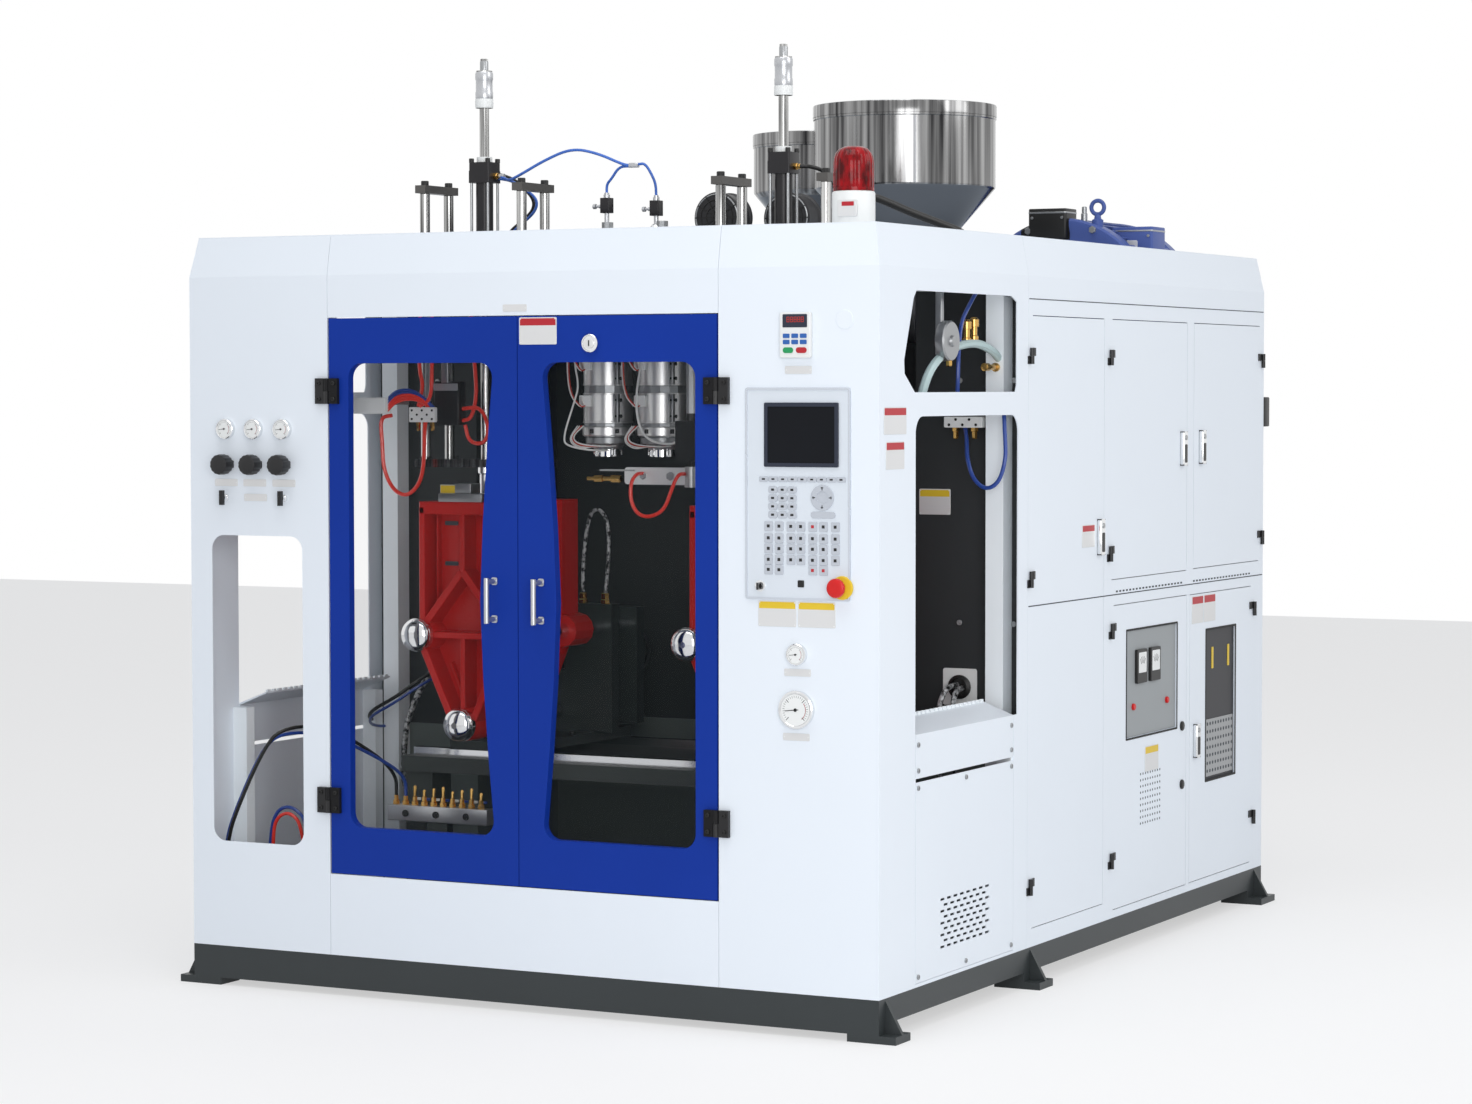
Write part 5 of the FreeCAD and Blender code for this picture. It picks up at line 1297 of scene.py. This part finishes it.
# Hoses over the roof as route, radius and finish.
ROOF_HOSES = (
    ([(-380, 555, 2020), (-355, 548, 2010), (-330, 520, 2006), (-292, 505, 2017),
      (-218, 505, 2053), (-140, 505, 2080), (-74, 520, 2066), (-23, 553, 2039), (-4, 555, 2036)],
     3.6, "hose_blue"),
    ([(-4, 555, 2034), (-36, 560, 2034), (-62, 566, 2004), (-79, 573, 1992), (-80, 575, 1968)],
     3.4, "hose_blue"),
    ([(22, 555, 2038), (40, 557, 2040), (57, 566, 2006), (61, 573, 1986), (61, 575, 1958)], 3.4,
     "hose_blue"),
    ([(-386, 560, 2014), (-374, 610, 2010), (-383, 662, 1996), (-362, 684, 1981),
      (-346, 686, 1960), (-355, 688, 1935), (-389, 692, 1910), (-430, 700, 1885),
      (-450, 700, 1852)], 3.6, "hose_blue"),
    ([(-386, 562, 2024), (-380, 620, 2016), (-385, 674, 2000), (-370, 694, 1978),
      (-362, 698, 1958), (-370, 700, 1935), (-404, 702, 1910), (-442, 706, 1885),
      (-462, 706, 1852)], 5.0, "tube_black"),
    ([(470, 555, 2020), (492, 562, 2020), (510, 600, 2012), (505, 680, 1990), (492, 700, 1920),
      (484, 706, 1852)], 5.0, "tube_black"),
    ([(428, 1000, 1853), (430, 1000, 1930), (446, 1000, 1972), (500, 1000, 1952),
      (560, 1000, 1926), (650, 1000, 1893), (704, 1000, 1872), (720, 1000, 1853)], 10.5,
     "tube_black"),
)


# Ferrules as place, axis, radius and run.
FERRULES = (((-380, 555, 2020), "x", 6, 14), ((428, 1000, 1853.8), "z", 16, 14),
            ((720, 1000, 1853.8), "z", 16, 12), ((-450, 700, 1853.8), "z", 7, 8),
            ((-462, 706, 1853.8), "z", 8, 8), ((484, 706, 1853.8), "z", 8, 8))


class MOULDER_OT_hoses(bpy.types.Operator):
    """Round hoses in place of the six-sided ones, with crimped ferrules on their ends"""
    bl_idname = "moulder.hoses"
    bl_label = "Roof hoses"

    def execute(self, context):
        parts = [(tube(route, radius, 14, 64), coat_name)
                 for route, radius, coat_name in ROOF_HOSES]
        for spot, way, radius, run in FERRULES:
            steps = np.array([0, 0.3, 0.36, 0.62, 0.68, 1.0]) * run
            wide = radius * np.array([1.0, 1.0, 0.86, 0.86, 1.0, 0.92])
            parts.append((lathe(np.stack([wide, steps], -1), spot, way, 20), "alloy"))
        piece("round_hoses", parts, "machine_body", ("air_hoses",))
        return {"FINISHED"}


def hopper_parts(x, y, low, rim, top, radius):
    """Turned hopper: neck flange, straight cone, rolled shoulder, wall and a domed lid."""
    shell = [(50, low), (62, low), (62, low + 10), (50, low + 12), (50.5, low + 16),
             (radius - 5, rim - 6), (radius - 0.8, rim - 1), (radius, rim + 5),
             (radius, top - 8), (radius + 2.2, top - 6), (radius + 2.2, top - 0.6)]
    lid = [(radius + 2.9, top), (radius + 2.9, top + 29), (radius + 1.6, top + 32),
           (radius - 4, top + 33), (radius * 0.5, top + 35.5), (26, top + 36.4), (6, top + 36.5)]
    seam = slab((x + radius * 0.5, y - radius * 0.8682, rim + 4),
                (x + radius * 0.5 + 7, y - radius * 0.8582, top - 8), "y", 1, 0.4)
    return [(lathe(shell, (x, y, 0), "z", 96), "mirror_sheet"),
            (seam, "alloy")], [(lathe(lid, (x, y, 0), "z", 96), "mirror_sheet")]


class MOULDER_OT_hoppers(bpy.types.Operator):
    """Polished hoppers with cones, rolled rims and lids"""
    bl_idname = "moulder.hoppers"
    bl_label = "Hoppers"

    def execute(self, context):
        shells, lids = [], []
        for sizes in ((270, 1600, 1780, 2022, 2212, 246), (-130, 1920, 1840, 2034, 2168, 198)):
            shell, lid = hopper_parts(*sizes)
            shells += shell
            lids += lid
        piece("hopper_shells", shells, "machine_body", ("hoppers",))
        piece("hopper_covers", lids, "machine_body", ("hopper_lids",))
        return {"FINISHED"}


class MOULDER_OT_motor(bpy.types.Operator):
    """Drive motor: ribbed case, stepped end shield with bolts, boxes and a lifting eye"""
    bl_idname = "moulder.motor"
    bl_label = "Drive motor"

    def execute(self, context):
        x, near, up = 520, 2100, 1690
        shield = [(60, 0), (62, 4), (150, 4), (158, 8), (228, 12), (246, 4), (262, 3), (268, 8),
                  (269, 20), (269, 52), (262, 56), (262, 60)]
        rear = [(262, 356), (262, 362), (269, 366), (269, 404), (262, 416), (200, 420), (40, 420)]
        body = [(248, 58), (249, 60), (249, 358), (248, 360)]
        points, faces = radial_bars((0, 0), 246, 268.5, 3.2, 0, 296, np.arange(0, 360, 7.5))
        parts = [(lathe(profile, (x, near, up), "y", 96), "motor_blue")
                 for profile in (shield, rear, body)]
        parts += [((points + [x, near + 357, up], faces), "motor_blue"),
                  (slab((x - 119, near + 50, up - 268), (x + 119, near + 350, up - 190), "z", 8,
                        3), "motor_blue")]
        turns = np.radians(np.arange(0, 360, 45) + 22.5)
        spots = [(x + 253 * math.cos(a), near + 4, up + 253 * math.sin(a)) for a in turns]
        parts.append((turned_at(spots, [(11, 0), (11, -6), (11 * 0.86, -8)], "y", 6),
                      "machined"))
        for low, high, coat_name in (
                ((x - 95, near - 4, up + 212), (x + 19, near + 79, up + 296), "tube_black"),
                ((x + 118, near + 92, up + 130), (x + 240, near + 196, up + 244),
                 "motor_blue")):
            lid = slab((low[0] - 0.8, low[1] - 0.8, high[2] - 14),
                       (high[0] + 0.8, high[1] + 0.8, high[2] - 9), "z", 6, 1)
            spots = [(px, low[1], high[2] - 26) for px in (low[0] + 12, high[0] - 12)]
            parts += [(slab(low, high, "z", 6, 3), coat_name), (lid, "machined"),
                      (screws(spots, "y", 4, -3), "machined")]
        parts += [
            (lathe([(16, up + 236), (16, up + 262), (10, up + 266), (8, up + 278)],
                   (x + 101, near + 30, 0), "z", 20), "motor_blue"),
            (ring_form((x + 101, near + 30, up + 297), 19, 6, "y", 36, 12), "motor_blue"),
            (lathe([(9, up + 236), (9, up + 280), (7, up + 282), (7, up + 298), (5, up + 300)],
                   (x + 64, near + 22, 0), "z", 14), "machined"),
            (slab((x + 130, near + 90.4, up + 150), (x + 196, near + 92.4, up + 206), "y", 4,
                  0.6), "plate_plain"),
            (lathe([(17, 196), (17, 214), (14, 218), (9, 219), (9, 240)],
                   (x + 190, near, up + 186), "y", 24), "motor_blue")]
        piece("motor_case", parts, "machine_body", ("drive_motor",))
        return {"FINISHED"}


# Depth and height of the grip on each cabinet door.
CABINET_GRIPS = {"a": (1335, 1052), "b": (1943, 1271), "c": (2091, 1273), "e": (2056, 464)}


def grip_parts(along, up):
    """Chrome lock case with a black lever and a lock cylinder."""
    wall = SIDE_FACE
    return [(slab((wall + 0.1, along - 14.7, up - 0.7), (wall + 12.8, along + 14.7, up + 93.7),
                  "x", 6, 2.5), "chrome"),
            (slab((wall + 12.6, along - 9, up + 8), (wall + 13.5, along + 9, up + 58), "x", 4,
                  0.4), "tube_black"),
            (lathe([(7, 12.6), (7, 14.2), (5.5, 15)], (wall, along, up + 76), "x", 24),
             "machined")]


def rear_window_parts():
    """Yellow clips, a louvred plate and the seal of the rear door's window."""
    wall = SIDE_FACE
    parts = []
    for low, high in ((700, 760), (420, 470)):
        parts += slabs("band_yellow", "x", 1, 0.3, [
            ((wall - 5.1, along, low), (wall - 3.6, along + 14, high)) for along in (2200, 2330)])
    dots = [(wall - 3, 2165 + 22 * column, 415 + 22 * row) for row in range(7)
            for column in range(10)]
    return parts + [
        (slab((wall - 5.1, 2150, 400), (wall - 3, 2375, 560), "x", 3, 1), "machined"),
        (turned_at(dots, [(5, 0), (5, 0.4)], "x", 10), "groove"),
        (frame_band((wall - 0.2, 2137, 387), (wall + 1.2, 2388, 815), "x", 6, 3), "rubber_foot")]


def meter_door_parts():
    """Inner plate, seal, two meters, red lamps, breather dots and stops of the meter door."""
    wall = SIDE_FACE
    parts = [(slab((wall - 5.1, 1536, 561), (wall - 3.6, 1909, 842), "x", 2, 0.4), "panel_grey"),
             (frame_band((wall - 0.2, 1530, 555), (wall + 1.2, 1915, 848), "x", 5, 3),
              "rubber_foot")]
    points, faces = radial_bars((0, 0), 16, 34, 0.8, 0, 0.3, [-35, -18, 0, 18, 35])
    scale = points[:, [1, 0, 2]] * [-1, 1, 1], [block[:, ::-1] for block in faces]
    for along in (1640, 1740):
        parts += [(slab((wall - 4, along - 36, 700), (wall + 5, along + 36, 790), "x", 4, 1.5),
                   "tube_black"),
                  (slab((wall + 4.8, along - 28, 728), (wall + 5.3, along + 28, 782), "x", 3,
                        0.2), "dial_white"),
                  (copies(scale, [(wall + 5.3, along, 738)]), "tube_black")]
    for along in (1590, 1840):
        parts.append((turned_at([(wall - 3.7, along, 640)], [(9, 0), (9, 5), (7, 7)], "x", 20),
                      "signal_red"))
    dots = [(wall, 1640 + 18 * column, 325 + 16.5 * row) for row in range(9)
            for column in range(9)]
    return parts + [
        (turned_at(dots, [(3.4, -0.2), (3.4, 0.25)], "x", 10), "groove"),
        (turned_at([(wall, 1950, 560), (wall, 1950, 400)],
                   [(13, 0), (13, 4), (10, 6), (4, 6.4)], "x", 24), "tube_black")]


def seam_parts():
    """Seams and dashes between the cabinet's sheets, and the black box at its rear edge."""
    wall = SIDE_FACE
    parts = slabs("groove", "x", 0.5, 0.1, [((wall, 866, low), (wall + 0.5, 2611, high))
                                            for low, high in ((942.6, 945.4), (1698.8, 1701.2))])
    for low, high in ((1450, 1975), (2030, 2510)):
        dashes = [(wall, low + 12 + 24 * step, 952) for step in range((high - low) // 24)]
        parts.append((copies(slab((0, -7, -2.4), (0.4, 7, 2.4), "x", 2, 0.1), dashes), "groove"))
    return parts + [(slab((wall - 34, 2617, 1371), (wall + 3, 2660, 1456), "y", 4, 1.5),
                     "tube_black")]


class MOULDER_OT_cabinet(bpy.types.Operator):
    """Handles, window trims, meters, breather dots and seams of the right-hand cabinet"""
    bl_idname = "moulder.cabinet"
    bl_label = "Rear cabinet"

    def execute(self, context):
        for key, spot in CABINET_GRIPS.items():
            parts = grip_parts(*spot) + (rear_window_parts() if key == "e" else [])
            piece("cabinet_fittings_" + key, parts, "cabinet_door_%s_body" % key)
        piece("cabinet_fittings_d", meter_door_parts(), "cabinet_door_d_body")
        piece("cabinet_seams", seam_parts(), "machine_body")
        return {"FINISHED"}


def hung_parts():
    """Blocks, hangers and small fittings in the bay, then behind the upper side windows."""
    disc = [(46, 0), (48, 3), (48, 20), (45, 24), (14, 24), (12, 30), (6, 31)]
    cup = [(34, 0), (36, -3), (36, -18), (33, -22), (10, -22)]
    return [
        (slab((-675, 300, 1418), (-564, 330, 1459), "x", 4, 1.5), "white_cap"),
        (slab((-598, 329, 1440), (-582, 441, 1452), "y", 2, 0.6), "machined"),
        (slab((-523, 462, 1388), (-447, 500, 1500), "z", 6, 2.5), "case_black"),
        (slab((-495, 455, 1496), (-475, 470, 1717), "z", 2, 0.6), "machined"),
        (slab((-520, 459, 1476), (-450, 462.4, 1494), "y", 2, 0.6), "alloy"),
        (slab((-589, 450, 1396), (-512, 484, 1434), "y", 3, 1.2), "white_cap"),
        (slab((-562, 484, 1400), (-546, 490, 1717), "z", 2, 0.6), "machined"),
        (slab((-615, 380, 385), (-320, 420, 425), "x", 2.5, 1), "alloy"),
        (turned_at([(across, 380, 405) for across in (-560, -470, -380)], [(9, 0), (9, -3)], "y",
                   16), "tube_black"),
        (slab((-500, 385, 99.5), (-440, 415, 385.5), "z", 2, 1), "bay_dark"),
        (slab((741, 806, 1384), (843, 844.8, 1411), "y", 3, 1.2), "white_cap"),
        (turned_at([(755 + 18 * column, 806, 1391 + 13 * (column % 2)) for column in range(5)],
                   [(3.5, 0), (3.5, -1.2)], "y", 10), "tube_black"),
        (turned_at([(765, 825, 1384), (815, 825, 1384)],
                   [(10, 0), (10, -9), (7, -10), (7, -26), (5, -28)], "z", 6), "brass"),
        (turned_at([(-580 + 15 * column, 450, 1404 + 11 * row) for column in range(5)
                    for row in range(3) if (column + row) % 2 == 0], [(3, 0), (3, -1.2)], "y",
                   10), "tube_black"),
        (turned_at([(-570, 466, 1396), (-528, 466, 1396)],
                   [(7, 0), (7, -8), (5.4, -9), (5.4, -20), (4, -22)], "z", 6), "brass"),
        (turned_at([(-566, 466, 1434), (-534, 466, 1434)],
                   [(7, 0), (7, 9), (5, 10), (5, 15)], "z", 8), "tube_black"),
        (slab((716, 861.9, 694), (808, 859.4, 786), "y", 6, 0.8), "white_cap"),
        (lathe([(30, -3), (30, -9), (22, -12), (21, -4)], (762, 862, 740), "y", 32),
         "tube_black"),
        (slab((868, 470, 1560), (884, 486, 1717), "z", 2, 0.6), "machined"),
        (lathe(disc, (884, 478, 1592), "x", 48), "machined"),
        (slab((-884, 470, 1560), (-868, 486, 1717), "z", 2, 0.6), "machined"),
        (lathe(cup, (-884, 478, 1592), "x", 40), "machined"),
    ]


# Tubing of the bay as route, radius and finish.
BAY_LINES = (
    ([(-640, 450, 1413), (-672, 444, 1408), (-663, 440, 1344), (-660, 440, 1275),
      (-631, 440, 1222), (-589, 440, 1206), (-550, 440, 1240), (-540, 444, 1294),
      (-548, 458, 1370), (-549, 466, 1396)], 5.2, "tube_red"),
    ([(-560, 450, 1437), (-540, 442, 1490), (-552, 440, 1532), (-552, 445, 1640),
      (-548, 450, 1717)], 5.0, "tube_red"),
    ([(-556, 450, 1437), (-517, 442, 1454), (-513, 440, 1532), (-517, 445, 1640),
      (-515, 450, 1717)], 5.0, "tube_red"),
    ([(-414, 460, 1717), (-414, 485, 1545), (-411, 490, 1464), (-424, 486, 1405),
      (-448, 481, 1400)], 5.0, "tube_red"),
    ([(-448, 481, 1430), (-396, 486, 1436), (-372, 486, 1380), (-385, 484, 1340),
      (-430, 482, 1345), (-440, 481, 1389)], 5.0, "tube_red"),
    ([(-905, 862, 585), (-918, 760, 596), (-873, 700, 628), (-795, 700, 666), (-726, 720, 719),
      (-690, 800, 752), (-668, 862, 765)], 5.0, "tube_black"),
    ([(-890, 862, 575), (-905, 756, 580), (-873, 690, 612), (-795, 690, 650), (-722, 712, 703),
      (-682, 800, 738), (-655, 862, 745)], 4.0, "tube_blue"),
    ([(-740, 862, 770), (-754, 780, 709), (-786, 750, 615), (-799, 750, 547), (-812, 760, 413),
      (-812, 862, 380)], 8.0, "braid"),
    ([(-812, 150, 99), (-808, 150, 346), (-799, 150, 405), (-754, 150, 424), (-714, 150, 382),
      (-708, 165, 99)], 4.5, "tube_red"),
    ([(-828, 156, 99), (-822, 156, 340), (-806, 156, 420), (-754, 156, 440), (-700, 156, 392),
      (-694, 170, 99)], 4.5, "tube_blue"),
    ([(-905, 66, 99), (-885, 60, 353), (-842, 60, 454), (-775, 62, 583), (-735, 80, 639),
      (-680, 200, 640), (-620, 330, 560), (-600, 400, 500), (-600, 400, 446)], 4.5,
     "tube_black"),
    ([(-915, 72, 99), (-897, 68, 345), (-854, 68, 448), (-787, 70, 577), (-745, 90, 628),
      (-680, 210, 618), (-596, 340, 540), (-572, 400, 494), (-572, 400, 446)], 4.5,
     "tube_blue"),
    ([(755, 862, 745), (750, 800, 742), (742, 770, 690), (740, 770, 560), (744, 800, 500),
      (744, 862, 480)], 7.0, "braid"),
    ([(770, 862, 738), (772, 805, 734), (780, 770, 680), (786, 768, 540), (788, 800, 470),
      (788, 862, 440)], 7.0, "braid"),
    ([(872, 372, 1440), (876, 384, 1480), (884, 400, 1520), (886, 450, 1552), (886, 540, 1580),
      (886, 666, 1592), (886, 770, 1574), (884, 830, 1545)], 10.5, "hose_pale"),
    ([(880, 690, 1716), (882, 640, 1682), (882, 590, 1640), (884, 571, 1570), (882, 572, 1500),
      (876, 580, 1430)], 5.0, "tube_blue"),
    ([(790, 825, 1386), (806, 800, 1350), (818, 772, 1310), (838, 764, 1258), (874, 762, 1232),
      (908, 764, 1252), (924, 766, 1310), (920, 770, 1360), (912, 780, 1430)], 5.2,
     "tube_blue"),
    ([(-900, 478, 1626), (-912, 430, 1660), (-914, 340, 1640), (-905, 300, 1560),
      (-903, 340, 1510), (-903, 440, 1520), (-900, 476, 1557)], 5.5, "tube_red"),
    *(([(-567, 313, 1424 + 7 * step), (-562, 345, 1448 + 7 * step), (-552, 400, 1456 + 6 * step),
        (-536, 440, 1446 + 3 * step), (-540 + 5 * step, 462, 1432)], 3.6,
       "tube_blue" if step > 2 else "tube_red") for step in range(5)),
)


class MOULDER_OT_air(bpy.types.Operator):
    """Tubing, fittings and valve blocks in the bay, with the carriage and cutter hoses"""
    bl_idname = "moulder.air"
    bl_label = "Inner tubing"

    def execute(self, context):
        parts = hung_parts()
        for step in range(2, 10):
            across, more = -600 + 28 * step, 5 * (step % 3)
            parts += [(lathe([(4.4, 446), (4.4, 462 + more), (2.6, 465 + more)],
                             (across, 400, 0), "z", 8), "brass"),
                      (slab((across - 9, 406, 437), (across + 11, 414, 443), "z", 2, 1),
                       "tube_blue" if step % 2 else "white_cap")]
        parts += [(tube(route, radius, 8, 12 + 6 * len(route)), coat_name)
                  for route, radius, coat_name in BAY_LINES]
        nuts = [(-600 + 28 * step, 400, 425) for step in range(10)]
        parts += [
            (turned_at(nuts, [(9.4, 0), (9.4, 9), (8, 10.5), (6.5, 11), (6.5, 21), (5, 22.5)],
                       "z", 6), "brass"),
            (turned_at([(880, 628, 0), (880, 672, 6)], [
                (7, 1580), (11, 1581), (11, 1600), (8, 1602), (8, 1622), (12, 1623), (12, 1640),
                (6, 1646)], "z", 16), "brass"),
            (lathe([(6, 735), (10, 736), (10, 756), (7, 758), (7, 800), (11, 801), (11, 824),
                    (6, 826)], (880, 0, 1532), "y", 12), "brass"),
            (turned_at([(900, 478, 1546), (-900, 478, 1557)], [(8, 0), (8, -12), (6, -14)], "z",
                       6), "brass")]
        parts += plate_parts((650, 735), (1167, 1231), 862, "band_yellow")
        wall = [(across, 862, up) for across in (-905, -760, 760, 905) for up in (300, 900, 1500)]
        parts.append((screws(wall, "y", 7, -4), "machined"))
        piece("bay_tubing", parts, "machine_body", ("air_manifold",))

        piece("carriage_conduit", [
            (tube([(-317, 865, 934), (-317, 865, 1032), (-300, 865, 1150), (-272, 865, 1172),
                   (-242, 865, 1140), (-238, 865, 1060), (-251, 865, 934)], 5, 12, 60), "braid"),
            (turned_at([(-317, 865, 920), (-251, 865, 920)],
                       [(13, 0), (13, 10), (11, 12), (11, 26), (9, 28)], "z", 6), "brass"),
        ], "left_carriage_body")
        piece("cutter_hose", [
            (tube([(112, 409, 1273), (112, 378, 1273), (110, 352, 1252), (112, 348, 1206),
                   (132, 348, 1174), (166, 348, 1168), (206, 348, 1186), (226, 352, 1244),
                   (228, 378, 1273), (228, 409, 1273)], 4.6, 10, 60), "tube_red"),
            (lathe([(5, -52), (5, -32), (9, -31), (9, -8), (6, -7), (6, 16), (10, 17), (10, 42),
                    (8, 44)], (0, 425, 1259), "x", 6), "brass")], "cutter_body")
        return {"FINISHED"}


class MOULDER_OT_outlets(bpy.types.Operator):
    """Comb of teeth on the two sill flanges and screws round the side openings"""
    bl_idname = "moulder.outlets"
    bl_label = "Outlet sills"

    def execute(self, context):
        parts = []
        for sign in (-1, 1):
            tooth = slab((sign * 866, -8, 711), (sign * 860, 8, 721), "x", 2, 1)
            parts.append((copies(tooth, [(0, 214 + 24.8 * step, 0) for step in range(23)]),
                          "inner_white"))
            spots = [(sign * SIDE_FACE, y, up) for y in (212, 760) for up in (600, 660)]
            spots += [(sign * SIDE_FACE, y, up) for y in (212, 486, 760) for up in (122, 560)]
            parts.append((screws(spots, "x", 6, sign * 3.5), "machined"))
        piece("sill_trim", parts, "machine_body")
        return {"FINISHED"}


class MOULDER_PT_panel(bpy.types.Panel):
    """Lists the steps that dress the machine"""
    bl_idname = "MOULDER_PT_panel"
    bl_label = "Blow moulding machine"
    bl_space_type = "VIEW_3D"
    bl_region_type = "UI"
    bl_category = "Moulder"

    def draw(self, context):
        for group_name in ("machine_colours", "machine_stage"):
            settings = getattr(context.scene, group_name)
            for field in settings.bl_rna.properties:
                if field.identifier not in ("rna_type", "name"):
                    self.layout.prop(settings, field.identifier)
        for step in STEPS:
            self.layout.operator(step.bl_idname)


STEPS = (MOULDER_OT_stage, MOULDER_OT_coats, MOULDER_OT_doors, MOULDER_OT_plates,
         MOULDER_OT_dials, MOULDER_OT_knobs, MOULDER_OT_control, MOULDER_OT_beacon,
         MOULDER_OT_clamps, MOULDER_OT_platens, MOULDER_OT_heads, MOULDER_OT_roof, MOULDER_OT_hoses,
         MOULDER_OT_hoppers, MOULDER_OT_motor, MOULDER_OT_cabinet, MOULDER_OT_air,
         MOULDER_OT_outlets)
CLASSES = (MachineColours, StageSizes, *STEPS, MOULDER_PT_panel)


def register():
    """Adds the classes and the two groups of settings."""
    for item in CLASSES:
        bpy.utils.register_class(item)
    bpy.types.Scene.machine_colours = bpy.props.PointerProperty(type=MachineColours)
    bpy.types.Scene.machine_stage = bpy.props.PointerProperty(type=StageSizes)


def unregister():
    """Takes them out again."""
    del bpy.types.Scene.machine_stage
    del bpy.types.Scene.machine_colours
    for item in reversed(CLASSES):
        bpy.utils.unregister_class(item)


def main():
    """Runs every step."""
    register()
    for step in STEPS:
        area, name = step.bl_idname.split(".")
        getattr(getattr(bpy.ops, area), name)()


if __name__ == "__main__":
    main()
